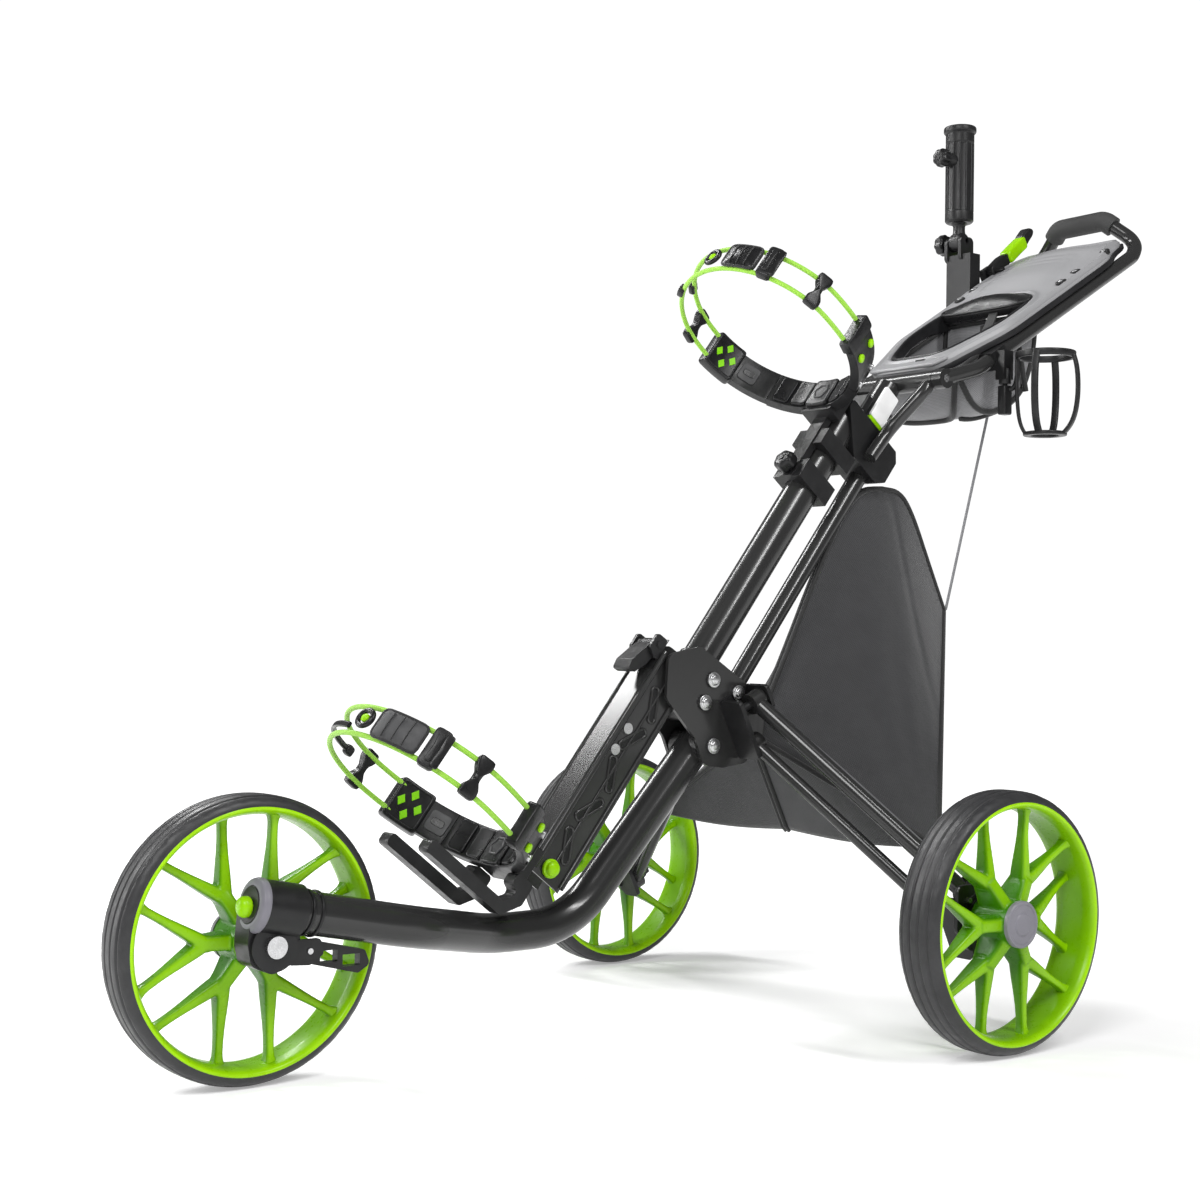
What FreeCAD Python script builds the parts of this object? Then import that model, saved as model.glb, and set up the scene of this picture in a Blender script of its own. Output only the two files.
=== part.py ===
"""Folding three-wheel golf push cart: one STEP file for each named piece, in millimetres.

X runs across the cart, the front wheel is at -Y and Z points up.  Shapes are drawn with Y counted
from the front axle; save() then moves them so that the origin lies on the ground under the middle
of the cart.  Three tilted frames carry most of the pieces: the mast frame (x, along the main tube,
in front of it), the console frame (x, up the console, above it) and the leg frame (x, down the
folded leg, square to it).
"""
import FreeCAD, Part
import math
import os

from FreeCAD import Vector as V

# Wheels and overall size
TYRE_R = 146.0
RIM_R = 133.5
FRONT_TYRE_W = 52.0
REAR_TYRE_W = 55.0
REAR_TYRE_X = 347.5
REAR_AXLE_Y = 750.0
AXLE_Z = TYRE_R
BRAKE_RING_T = 5.0
BRAKE_PIN_AT = 30.0
CART_REAR_Y = 1359.4
SHIFT_Y = -(CART_REAR_Y - TYRE_R) / 2

# Running fits and gaps
FIT = 0.05
GAP = 0.4

# Mast: the main tube's axis, its slope, and places along it and in front of it
MAST_ORIGIN = V(0, 611, 441)
MAST_TILT = 51.9
MAIN_HALF_DEEP = 23.0
MAIN_HALF_WIDE = 20.0
MAIN_START = -28.0
MAIN_END = 388.0
STAY_BEHIND = -65.0
STAY_R = 12.0
CHANNEL_HALF_W = 22.0
CHANNEL_BACK = 12.0
CHANNEL_FRONT = 65.0
CHANNEL_START = -361.0
CHANNEL_END = -50.0

# Bag brackets: radius of the bag they hold, and its centre in front of the main tube
BAG_R = 119.0
SADDLE_T = 14.0
LOWER_BAG_FRONT = 215.0
LOWER_A = -360.0
UPPER_BAG_FRONT = 167.0
UPPER_A = 383.0
SADDLE_HALF_A = 22.0
CORD_R = 3.0
THIN_CORD_R = 2.0
CORD_SPREAD = 17.0
STRAP_HALF_W = 24.0
LOWER_STRAP_PIECES = ((13, 3.5, 6), (38, 4.5, 8), (78, 20, 6), (125, 6, 5), (172, 3.5, 6))
UPPER_STRAP_PIECES = ((21, 3.5, 6), (57, 4.5, 8), (82, 12, 7), (136, 3.5, 6), (166, 3.5, 6))

# Hinge plates and the front arm
PLATE_IN = 27.0
PLATE_OUT = 32.0
ARM_PIVOT = V(0, 597, 327)
ARM_TUBE_R = 22.0
ARM_TUBE_WALL = 2.5
PIVOT_R = 6.0
FORK_X = 52.0

# Rear legs: pivots, slope of the folding plane and the opening angle of the links
LEG_ORIGIN_Y = 637.0
LEG_ORIGIN_Z = 376.0
LEG_PIVOT_X = 52.0
LEG_TILT = -63.98
LEG_LENGTH = 339.3
LEG_OPEN = 46.2
LEG_PITCH = 46.0
LEG_LAYER = 11.0

# Console and handle
CONSOLE_ORIGIN = V(0, 950, 818)
CONSOLE_TILT = 30.5
CONSOLE_HALF_W = 102.0
CONSOLE_LIP_HALF_W = 58.0
CONSOLE_LENGTH = 405.0
CONSOLE_T = 16.0
RAIL_R = 10.0
RAIL_X = 94.0
HANDLE_HINGE = V(0, 940, 797)
LATCH_PIVOT_A = 404.0
LATCH_PIVOT_OUT = -8.0

# Mesh pouch under the console: side view in the console frame, and half its width
POUCH_OUTER = ((14, -16), (204, -16), (172, -66), (112, -106), (24, -94))
POUCH_INNER = ((17, 0), (200, 0), (168, -64), (111, -103), (27, -91))
POUCH_HALF_W = 80.0
POUCH_WALL = 3.0

# Brake lever on the left rail: pivot in the console frame, and its side view
BRAKE_PIVOT = (361, 8)
BRAKE_LEVER = ((354, 2), (368, 2), (384, 10), (452, 22), (468, 24), (470, 34), (440, 36),
               (380, 26), (354, 15))

# Net cord: its ends
NET_CORD_LOW = V(0, 1048, 500)
NET_CORD_TOP = (24, 118, -109)

# Umbrella holder and cup holder
UMBRELLA_X = -136.0
UMBRELLA_Y = 1224.0
UMBRELLA_TILT_Z = 1052.0
UMBRELLA_CLAMP_A = 301.0
UMBRELLA_BORE_R = 15.0
UMBRELLA_TUBE_LOW = 28.0
UMBRELLA_TUBE_TOP = 172.0
UMBRELLA_SCREW = 120.0
CUP_X = 160.0
CUP_Y = 1054.0
CUP_FLOOR_Z = 726.0
CUP_RING_Z = 827.0
CUP_BORE_R = 33.0
CUP_FOOT_R = 25.0
CUP_HEAD_R = 37.5
CUP_RIB_ANGLES = (20, 110, 215, 290)
CUP_PIN_X = 113.0
CUP_PIN_Y = 1030.0
CUP_PIN_Z = 796.0
CUP_CLAMP_A = 77.0


def unit(angle):
    """Direction (y, z) at an angle in degrees from +Y."""
    return V(0, math.cos(math.radians(angle)), math.sin(math.radians(angle)))


def tilted(shape, origin, angle):
    """Shape drawn in (x, along, above) moved to a frame that starts at origin and rises by angle."""
    moved = shape.copy()
    moved.Placement = FreeCAD.Placement(origin, FreeCAD.Rotation(V(1, 0, 0), angle))
    return moved


def on_mast(shape):
    """Shape drawn in (x, along the main tube, in front of it) moved to its place."""
    return tilted(shape, MAST_ORIGIN, MAST_TILT)


def on_console(shape):
    """Shape drawn in (x, up the console, above it) moved to its place."""
    return tilted(shape, CONSOLE_ORIGIN, CONSOLE_TILT)


def mast_point(x, along, front):
    """Cart point of a place given in the mast frame."""
    return MAST_ORIGIN + V(x, 0, 0) + unit(MAST_TILT) * along + unit(MAST_TILT + 90) * front


def console_point(x, up, above):
    """Cart point of a place given in the console frame."""
    return CONSOLE_ORIGIN + V(x, 0, 0) + unit(CONSOLE_TILT) * up + unit(CONSOLE_TILT + 90) * above


def cyl(start, axis, radius, length):
    """Cylinder from start along axis."""
    return Part.makeCylinder(radius, length, start, axis)


def rod(start, end, radius):
    """Cylinder from one point to another."""
    return Part.makeCylinder(radius, (end - start).Length, start, end - start)


def box(x0, x1, y0, y1, z0, z1):
    """Box between two corners."""
    return Part.makeBox(x1 - x0, y1 - y0, z1 - z0, V(x0, y0, z0))


def soft_box(x0, x1, y0, y1, z0, z1, radius):
    """Box between two corners with every edge rounded."""
    block = box(x0, x1, y0, y1, z0, z1)
    return block.makeFillet(radius, block.Edges)


def rounded_wire(points, radius):
    """Closed outline through points with its corners rounded by up to radius."""
    edges = []
    starts = []
    count = len(points)
    for i in range(count):
        here = points[i]
        to_last = points[i - 1] - here
        to_next = points[(i + 1) % count] - here
        half = to_last.getAngle(to_next) / 2
        cut = min(radius / math.tan(half), 0.45 * to_last.Length, 0.45 * to_next.Length)
        fitted = cut * math.tan(half)
        first = here + to_last.normalize() * cut
        last = here + to_next.normalize() * cut
        inward = (to_last + to_next).normalize()
        middle = here + inward * (fitted / math.sin(half) - fitted)
        starts.append((first, middle, last))
    for i in range(count):
        first, middle, last = starts[i]
        edges.append(Part.Arc(first, middle, last).toShape())
        edges.append(Part.LineSegment(last, starts[(i + 1) % count][0]).toShape())
    return Part.Wire(edges)


def prism(points, x0, x1, radius=0.0):
    """Outline given as (y, z) pairs, carried from x0 to x1 along X."""
    corners = [V(x0, y, z) for y, z in points]
    if radius > 0:
        wire = rounded_wire(corners, radius)
    else:
        wire = Part.makePolygon(corners + [corners[0]])
    return Part.Face(wire).extrude(V(x1 - x0, 0, 0))


def slab(points, z0, z1, radius=0.0):
    """Outline given as (x, y) pairs, carried from z0 to z1."""
    corners = [V(x, y, z0) for x, y in points]
    if radius > 0:
        wire = rounded_wire(corners, radius)
    else:
        wire = Part.makePolygon(corners + [corners[0]])
    return Part.Face(wire).extrude(V(0, 0, z1 - z0))


def bend_arc(before, corner, after, radius):
    """Ends and middle of the arc that rounds one corner of a path."""
    back = before - corner
    ahead = after - corner
    half = back.getAngle(ahead) / 2
    cut = radius / math.tan(half)
    first = corner + V(back).normalize() * cut
    last = corner + V(ahead).normalize() * cut
    inward = (V(back).normalize() + V(ahead).normalize()).normalize()
    middle = corner + inward * (radius / math.sin(half) - radius)
    return first, middle, last


def path_wire(points, radii):
    """Straight runs through points, joined by tangent arcs of the given radii."""
    edges = []
    start = points[0]
    for i in range(1, len(points) - 1):
        first, middle, last = bend_arc(points[i - 1], points[i], points[i + 1], radii[i - 1])
        edges.append(Part.LineSegment(start, first).toShape())
        edges.append(Part.Arc(first, middle, last).toShape())
        start = last
    edges.append(Part.LineSegment(start, points[-1]).toShape())
    return Part.Wire(edges)


def natural_radii(points):
    """Radius of each corner: 0.45 of its shorter run over the tangent of half the turn."""
    radii = []
    for i in range(1, len(points) - 1):
        ahead = points[i + 1] - points[i]
        back = points[i] - points[i - 1]
        half_turn = back.getAngle(ahead) / 2
        radii.append(0.45 * min(ahead.Length, back.Length) / math.tan(half_turn))
    return radii


def print_radii(name, points, radius):
    """Prints how tightly a cord's route bends, in cord diameters."""
    diameters = [round(bend / (2 * radius), 1) for bend in natural_radii(points)]
    print(name, "bend radii in diameters:", diameters)


def swept(points, radii, radius):
    """Round bar of the given radius along a path."""
    wire = path_wire(points, radii)
    circle = Part.Wire(Part.makeCircle(radius, points[0], points[1] - points[0]))
    return wire.makePipeShell([circle], True, False)


def oval_bar(half_x, half_front, a0, a1):
    """Oval bar along the mast frame's second axis."""
    tips = [V(0, a0, half_front), V(half_x, a0, 0)]
    if half_x > half_front:
        tips.reverse()
    ellipse = Part.Ellipse(tips[0], tips[1], V(0, a0, 0))
    return Part.Face(Part.Wire(ellipse.toShape())).extrude(V(0, a1 - a0, 0))


def drilled(shape, pins):
    """Shape with the holes of the given pins."""
    for pin in pins:
        shape = shape.cut(pin)
    return shape


def mirrored(shape):
    """Mirror image across the cart's middle plane."""
    return shape.mirror(V(0, 0, 0), V(1, 0, 0))


def save(name, shapes):
    """Write one node: every solid of the given shapes, moved to the row's origin."""
    group = shapes if isinstance(shapes, list) else [shapes]
    solids = []
    for shape in group:
        moved = shape.copy()
        moved.translate(V(0, SHIFT_Y, 0))
        solids.extend(moved.Solids)
    out = solids[0] if len(solids) == 1 else Part.makeCompound(solids)
    for solid in solids:
        if not solid.isValid() or solid.Volume < 1:
            print("CHECK", name, solid.Volume, solid.isValid())
    out.exportStep("parts/%s.step" % name)


# ------------------------------------------------------------------ wheels

def ring(profile, centre):
    """Solid of revolution about the X axis through centre; the profile is (x, radius) pairs."""
    corners = [V(x, 0, r) for x, r in profile]
    face = Part.Face(Part.makePolygon(corners + [corners[0]]))
    solid = face.revolve(V(0, 0, 0), V(1, 0, 0), 360)
    solid.translate(centre)
    return solid


def spoke(angle, spread, x_mid):
    """One leg of a V spoke, from the hub out to the rim."""
    hub_angle = math.radians(angle + spread * 0.3)
    rim_angle = math.radians(angle + spread)
    start = V(0, 20 * math.cos(hub_angle), 20 * math.sin(hub_angle))
    end = V(0, 125.5 * math.cos(rim_angle), 125.5 * math.sin(rim_angle))
    side = V(0, -(end - start).z, (end - start).y).normalize()
    corners = [start + side * 6, end + side * 4, end - side * 4, start - side * 6]
    points = [(p.y, p.z) for p in corners]
    return prism(points, x_mid - 5, x_mid + 5)


def wheel(name, centre, width, outer_side, brake_holes):
    """Tyre, spoked rim, hub cap and two bearings of one wheel; outer_side is the cap's side."""
    half = width / 2
    tyre = [(-half + 3, 129.5), (-half + 3, RIM_R), (-half, RIM_R + 2), (-half + 1, TYRE_R - 6),
            (-half + 8, TYRE_R - 0.8), (-6, TYRE_R), (6, TYRE_R), (half - 8, TYRE_R - 0.8),
            (half - 1, TYRE_R - 6), (half, RIM_R + 2), (half - 3, RIM_R), (half - 3, 129.5)]
    save(name + "_tyre", ring(tyre, centre))
    barrel = [(-half + 0.5, 124), (-half + 0.5, RIM_R), (-half + 3, RIM_R), (-half + 3, 129.5),
              (half - 3, 129.5), (half - 3, RIM_R), (half - 0.5, RIM_R), (half - 0.5, 124)]
    rim = ring(barrel, V(0, 0, 0))
    hub = cyl(V(-half + 2, 0, 0), V(1, 0, 0), 23, width - 4)
    rim = rim.fuse(hub)
    for i in range(6):
        layer = 9.0 if i % 2 else -9.0
        for spread in (-19, 19):
            rim = rim.fuse(spoke(60 * i, spread, layer))
    if brake_holes:
        start = V((half - 2) * -outer_side, 0, 0)
        flange = cyl(start, V(outer_side, 0, 0), 38, BRAKE_RING_T)
        for i in range(12):
            turn = math.radians(15 + 30 * i)
            hole = V(start.x, BRAKE_PIN_AT * math.cos(turn), BRAKE_PIN_AT * math.sin(turn))
            flange = flange.cut(cyl(hole, V(outer_side, 0, 0), 4.2, BRAKE_RING_T))
        rim = rim.fuse(flange)
    rim = rim.cut(cyl(V(-half, 0, 0), V(1, 0, 0), 13, width)).removeSplitter()
    rim.translate(centre)
    save(name + "_rim", rim)
    cap_start = (half - 2) * outer_side
    cap = cyl(V(cap_start, 0, 0), V(outer_side, 0, 0), 26, 3)
    cap = cap.fuse(Part.makeCone(26, 20, 2, V(cap_start + 3 * outer_side, 0, 0), V(outer_side, 0, 0)))
    cap = cap.removeSplitter()
    cap.translate(centre)
    save(name + "_hub_cap", cap)
    bearings = []
    for place in (-half + 4, half - 12):
        bearing = cyl(V(place, 0, 0), V(1, 0, 0), 13, 8).cut(cyl(V(place, 0, 0), V(1, 0, 0), 6, 8))
        bearing.translate(centre)
        bearings.append(bearing)
    save(name + "_bearings", bearings)


def build_wheels():
    """Front wheel and the two rear wheels."""
    wheel("front", V(0, 0, AXLE_Z), FRONT_TYRE_W, -1, False)
    wheel("right", V(REAR_TYRE_X, REAR_AXLE_Y, AXLE_Z), REAR_TYRE_W, 1, True)
    wheel("left", V(-REAR_TYRE_X, REAR_AXLE_Y, AXLE_Z), REAR_TYRE_W, -1, True)


# --------------------------------------------------------------- front arm

def arm_points():
    """Corners of the front arm's tube, from the fork to the pivot."""
    return [V(FORK_X, -4, 184), V(FORK_X, 165, 150), V(0, 300, 124), V(0, 408, 124),
            V(0, 583, 312)]


def build_front_arm():
    """Bent tube with its knuckle, the single-sided fork, the lever and the release button."""
    points = arm_points()
    radii = [200, 150, 120]
    outer = swept(points, radii, ARM_TUBE_R)
    tube = outer.cut(swept(points, radii, ARM_TUBE_R - ARM_TUBE_WALL))

    run = (points[-1] - points[-2]).normalize()
    shank_end = points[-1] - run * 36
    knuckle = rod(shank_end, points[-1], ARM_TUBE_R - ARM_TUBE_WALL)
    neck = rod(points[-1], ARM_PIVOT, ARM_TUBE_R)
    eye = cyl(ARM_PIVOT - V(25, 0, 0), V(1, 0, 0), 21, 50)
    knuckle = knuckle.fuse(neck).fuse(eye)
    knuckle = knuckle.cut(cyl(ARM_PIVOT - V(30, 0, 0), V(1, 0, 0), PIVOT_R + FIT, 60))
    save("front_arm_tube", [tube, knuckle.removeSplitter()])

    start = points[0]
    run = (points[1] - points[0]).normalize()
    socket = rod(start - run * 12, start + run * 34, 27)
    socket = socket.fuse(Part.makeCone(18, 27, 8, start - run * 20, run))
    arm = prism([(-24, 190), (22, 190), (30, 150), (24, 128), (0, 118), (-24, 128), (-28, 150)],
                31, 60, 12)
    boss = cyl(V(30, 0, AXLE_Z), V(1, 0, 0), 25, 34)
    ear = prism([(20, 150), (52, 150), (56, 134), (40, 124), (14, 126)], 57.5, 61.5, 5)
    fork = socket.fuse(arm).fuse(boss).fuse(ear)
    bore = rod(start, start + run * 60, ARM_TUBE_R)
    fork = fork.cut(bore).cut(cyl(V(20, 0, AXLE_Z), V(1, 0, 0), 6, 60))
    pocket = cyl(V(FORK_X, -60, 186), V(0, 1, 0), 8 + FIT, 64)
    lever_pin = cyl(V(45, 40, 138), V(1, 0, 0), 3, 18)
    fork = fork.cut(pocket).cut(lever_pin).removeSplitter()
    save("front_fork", fork)

    axle = cyl(V(-22, 0, AXLE_Z), V(1, 0, 0), 6 - FIT, 52)
    axle = axle.fuse(cyl(V(30, 0, AXLE_Z), V(1, 0, 0), 6, 34))
    axle = axle.fuse(cyl(V(64, 0, AXLE_Z), V(1, 0, 0), 11, 5))
    save("front_axle", [axle.removeSplitter(), lever_pin])

    lever = prism([(32, 146), (56, 145), (106, 133), (112, 118), (98, 110), (44, 124), (32, 130)],
                  46.5, 57, 5)
    for y0, y1, z0 in ((54, 74, 124), (80, 100, 118)):
        lever = lever.cut(box(40, 60, y0, y1, z0, z0 + 12))
    lever = lever.cut(cyl(V(40, 40, 138), V(1, 0, 0), 3 + FIT, 20))
    save("alignment_lever", lever)

    button = cyl(V(FORK_X, -34, 186), V(0, 1, 0), 8 - FIT, 26)
    button = button.makeFillet(3, [button.Edges[2]])
    save("wheel_release_button", button)


# ------------------------------------------------------------------- frame

def frame_pins():
    """Pins through the hinge plates: places as (y, z)."""
    return [(596, 406), (583, 379), (636, 390)]


def pin_shape(y, z, reach):
    """Headed pin across the cart."""
    pin = cyl(V(-reach, y, z), V(1, 0, 0), 5, 2 * reach)
    for side in (-1, 1):
        pin = pin.fuse(cyl(V(side * reach, y, z), V(side, 0, 0), 8, 3))
    return pin.removeSplitter()


def stay_bar(radius):
    """Rear stay's outer or inner bar."""
    start = mast_point(0, -8, STAY_BEHIND)
    end = mast_point(0, 388, STAY_BEHIND)
    return rod(start, end, radius)


def build_mast():
    """Main tube, rear stay, lower channel, hinge plates, pins and the fold lever."""
    pins = [pin_shape(y, z, PLATE_OUT) for y, z in frame_pins()]
    outer = on_mast(oval_bar(MAIN_HALF_WIDE, MAIN_HALF_DEEP, MAIN_START, MAIN_END))
    inner = on_mast(oval_bar(MAIN_HALF_WIDE - 2, MAIN_HALF_DEEP - 2, MAIN_START, MAIN_END))
    save("main_tube", drilled(outer.cut(inner), pins))
    stay_outer = stay_bar(STAY_R)
    save("rear_stay", drilled(stay_outer.cut(stay_bar(STAY_R - 1.8)), pins))

    section = [(-CHANNEL_HALF_W, CHANNEL_BACK), (CHANNEL_HALF_W, CHANNEL_BACK),
               (CHANNEL_HALF_W, CHANNEL_FRONT), (-CHANNEL_HALF_W, CHANNEL_FRONT)]
    corners = [V(x, CHANNEL_START, f) for x, f in section]
    length = V(0, CHANNEL_END - CHANNEL_START, 0)
    channel = Part.Face(rounded_wire(corners, 6)).extrude(length)
    hollow = box(-CHANNEL_HALF_W + 3, CHANNEL_HALF_W - 3, CHANNEL_START, CHANNEL_END,
                 CHANNEL_BACK - 3, CHANNEL_FRONT - 3)
    channel = channel.cut(hollow)
    rivets = []
    for along in (-157, -187):
        for side in (-1, 1):
            place = V(side * (CHANNEL_HALF_W - 5), along, 52)
            rivet = cyl(place, V(side, 0, 0), 4, 5)
            channel = channel.cut(rivet)
            head = cyl(V(side * CHANNEL_HALF_W, along, 52), V(side, 0, 0), 6.5, 2.5)
            rivets.append(on_mast(rivet.fuse(head).removeSplitter()))
    save("lower_channel", on_mast(channel))

    outline = [(527, 436), (577, 446), (655, 399), (684, 380), (678, 330), (650, 305),
               (614, 300), (584, 304), (570, 336), (524, 384)]
    arm_pin = pin_shape(ARM_PIVOT.y, ARM_PIVOT.z, PLATE_OUT)
    plate = prism(outline, PLATE_IN, PLATE_OUT, 12)
    plates = [drilled(plate, pins + [arm_pin]), drilled(mirrored(plate), pins + [arm_pin])]
    spacer = prism([(556, 396), (580, 436), (648, 398), (668, 378), (642, 360), (566, 356)],
                   -PLATE_IN, PLATE_IN, 8)
    channel_room = box(-CHANNEL_HALF_W - GAP, CHANNEL_HALF_W + GAP, CHANNEL_START,
                       CHANNEL_END + GAP, CHANNEL_BACK - GAP, CHANNEL_FRONT + GAP)
    spacer = spacer.cut(outer).cut(stay_outer).cut(on_mast(channel_room))
    spacer = drilled(spacer, pins)
    save("hinge_plates", plates)
    hinge_pin = cyl(V(-92, HANDLE_HINGE.y, HANDLE_HINGE.z), V(1, 0, 0), 5 - FIT, 184)
    save("frame_pins", pins + [arm_pin, hinge_pin] + rivets)

    hook = prism([(-50, 67), (-50, 81), (-86, 92), (-98, 90), (-96, 80), (-78, 72)], -15, 15, 3)
    lever = on_mast(hook)
    barrel = cyl(V(-15, -50, 74), V(1, 0, 0), 7.8, 30)
    lever = lever.fuse(on_mast(barrel))
    lever = lever.cut(on_mast(cyl(V(-20, -50, 74), V(1, 0, 0), 4 + FIT, 40)))
    save("fold_lever", lever.removeSplitter())
    cheeks = []
    for side in (-1, 1):
        cheek = prism([(-70, 65), (-38, 65), (-40, 84), (-60, 84)], 15.5, 20, 5)
        cheeks.append(cheek if side > 0 else mirrored(cheek))
    clevis = cheeks[0].fuse(cheeks[1]).fuse(box(-20, 20, -78, -36, 65, 65.8))
    clevis = clevis.fuse(cyl(V(-22, -50, 74), V(1, 0, 0), 4, 44))
    lugs = [drilled(leg_lug(), pins), drilled(mirrored(leg_lug()), pins)]
    save("frame_brackets", [spacer, on_mast(clevis.removeSplitter())] + lugs)


def bag_arc(front, a_mid, half_a, start, end, inner, outer):
    """Part of a ring around the bag, between two angles in the plane square to the main tube."""
    sector = Part.makeCylinder(outer, 2 * half_a, V(0, a_mid - half_a, front), V(0, 1, 0), 360)
    sector = sector.cut(cyl(V(0, a_mid - half_a - 1, front), V(0, 1, 0), inner, 2 * half_a + 2))
    wedge = [V(0, 0, 0)]
    reach = 2.5 * outer
    for i in range(5):
        angle = math.radians(start + (end - start) * i / 4)
        wedge.append(V(reach * math.cos(angle), 0, reach * math.sin(angle)))
    face = Part.Face(Part.makePolygon(wedge + [wedge[0]]))
    keep = face.extrude(V(0, 4 * half_a, 0))
    keep.translate(V(0, a_mid - 2 * half_a, front))
    return sector.common(keep)


def bag_ring_point(front, along, radius, angle):
    """Mast-frame point on a circle around the bag; 0 degrees is +X and 90 is away from the tube."""
    turn = math.radians(angle)
    return mast_point(radius * math.cos(turn), along, front + radius * math.sin(turn))


def strap(prefix, front, along, start, end, pieces):
    """Two elastic cords round the bag; pieces are (angle, half angle, half thickness)."""
    cords = []
    fittings = []
    steps = 10
    for offset in (-CORD_SPREAD, CORD_SPREAD):
        points = []
        for i in range(steps + 1):
            angle = start + (end - start) * i / steps
            points.append(bag_ring_point(front, along + offset, BAG_R + CORD_R, angle))
        print_radii("%s strap cord" % prefix, points, CORD_R)
        cords.append(swept(points, natural_radii(points), CORD_R))
    cord_body = cords[0].fuse(cords[1])
    for angle, half_turn, thick in pieces:
        piece = bag_arc(front, along, STRAP_HALF_W, angle - half_turn, angle + half_turn,
                        BAG_R, BAG_R + CORD_R + thick)
        fittings.append(on_mast(piece).cut(cord_body))
    save(prefix + "_strap_cords", cords)
    save(prefix + "_strap_fittings", fittings)


def build_lower_bracket():
    """Saddle, rest prongs, arms and strap of the lower bag bracket."""
    front = LOWER_BAG_FRONT
    saddle = bag_arc(front, LOWER_A, SADDLE_HALF_A, -128, -52, BAG_R, BAG_R + SADDLE_T)
    foot = box(-30, 30, LOWER_A - SADDLE_HALF_A, LOWER_A + SADDLE_HALF_A, CHANNEL_FRONT, front - BAG_R)
    foot = foot.cut(cyl(V(0, LOWER_A - 60, front), V(0, 1, 0), BAG_R + SADDLE_T / 2, 120))
    saddle = saddle.fuse(foot).removeSplitter()
    prongs = []
    side_view = [(LOWER_A - 22, 92), (LOWER_A - 22, 66), (LOWER_A - 48, 66), (LOWER_A - 72, 84),
                 (LOWER_A - 72, 206), (LOWER_A - 57, 206), (LOWER_A - 57, 92), (LOWER_A - 46, 82),
                 (LOWER_A - 40, 82), (LOWER_A - 36, 92)]
    for side in (-1, 1):
        prong = prism(side_view, 31, 49, 5)
        prong = prong if side > 0 else mirrored(prong)
        prongs.append(on_mast(prong))
    save("bag_rest_prongs", prongs)
    arms = []
    for start, end in ((-51.8, -27), (-153, -128.2)):
        arm = bag_arc(front, LOWER_A, SADDLE_HALF_A, start, end, BAG_R, BAG_R + SADDLE_T - 2)
        arms.append(on_mast(arm))
    save("lower_saddle", [on_mast(saddle)] + arms)
    strap("lower", front, LOWER_A, -26.0, 206.0, LOWER_STRAP_PIECES)


def build_upper_bracket():
    """Sliding saddle, arms, strap and star knob of the upper bag bracket."""
    front = UPPER_BAG_FRONT
    saddle = bag_arc(front, UPPER_A, SADDLE_HALF_A, -128, -52, BAG_R, BAG_R + SADDLE_T)
    foot = box(-26, 26, 356, UPPER_A + SADDLE_HALF_A, 24, front - BAG_R)
    sleeve = box(-26, 26, 312, 337, -29, 32)
    low_sleeve = box(-24, 24, 256, 284, -27, 32)
    rail = box(-11, 11, 256, 404, 24, 34)
    body = saddle.fuse(foot).fuse(sleeve).fuse(low_sleeve).fuse(rail)
    body = body.cut(cyl(V(0, 300, front), V(0, 1, 0), BAG_R, 140))
    free = oval_bar(MAIN_HALF_WIDE + GAP, MAIN_HALF_DEEP + GAP, 200, 420)
    screw_hole = cyl(V(0, 270, 20), V(0, 0, 1), 5 + FIT, 30)
    body = body.cut(free).cut(screw_hole).removeSplitter()
    arms = []
    for start, end in ((-51.8, -14), (-166, -128.2)):
        arm = bag_arc(front, UPPER_A, SADDLE_HALF_A, start, end, BAG_R, BAG_R + SADDLE_T - 2)
        arms.append(on_mast(arm))
    save("upper_saddle", [on_mast(body)] + arms)
    strap("upper", front, UPPER_A, -13.0, 193.0, UPPER_STRAP_PIECES)
    stem = cyl(V(0, 270, 25), V(0, 0, 1), 5, 14)
    star = cyl(V(0, 270, 38), V(0, 0, 1), 14, 12)
    for i in range(6):
        turn = math.radians(60 * i)
        place = V(17 * math.cos(turn), 270 + 17 * math.sin(turn), 37)
        star = star.cut(cyl(place, V(0, 0, 1), 5, 14))
    save("height_knob", on_mast(stem.fuse(star).removeSplitter()))


# --------------------------------------------------------------- rear legs

def leg_frame(shape):
    """Shape drawn in (x, down the folding plane, square to it) moved to its place."""
    return tilted(shape, V(0, LEG_ORIGIN_Y, LEG_ORIGIN_Z), LEG_TILT)


def leg_end(origin_down):
    """Far end of a link in the leg frame: x and distance down the folding plane."""
    turn = math.radians(LEG_OPEN)
    return LEG_PIVOT_X + LEG_LENGTH * math.sin(turn), origin_down + LEG_LENGTH * math.cos(turn)


def link(down, layer, radius, eye_r, half_h, pin_r):
    """One tubular link between two eyes, in the leg frame."""
    far_x, far_down = leg_end(down)
    near = V(LEG_PIVOT_X, down, layer)
    far = V(far_x, far_down, layer)
    body = rod(near, far, radius)
    body = body.cut(rod(near, far, radius - 1.8))
    for centre in (near, far):
        body = body.cut(cyl(centre - V(0, 0, 20), V(0, 0, 1), eye_r - 1, 40))
    for centre in (near, far):
        eye = cyl(centre - V(0, 0, half_h), V(0, 0, 1), eye_r, 2 * half_h)
        body = body.fuse(eye)
    for centre in (near, far):
        body = body.cut(cyl(centre - V(0, 0, 20), V(0, 0, 1), pin_r + FIT, 40))
    return body.removeSplitter()


def brake_pin_place(x):
    """Point on the right brake pin's axis."""
    away = BRAKE_PIN_AT * math.sin(math.radians(45))
    return V(x, REAR_AXLE_Y - away, AXLE_Z + away)


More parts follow.
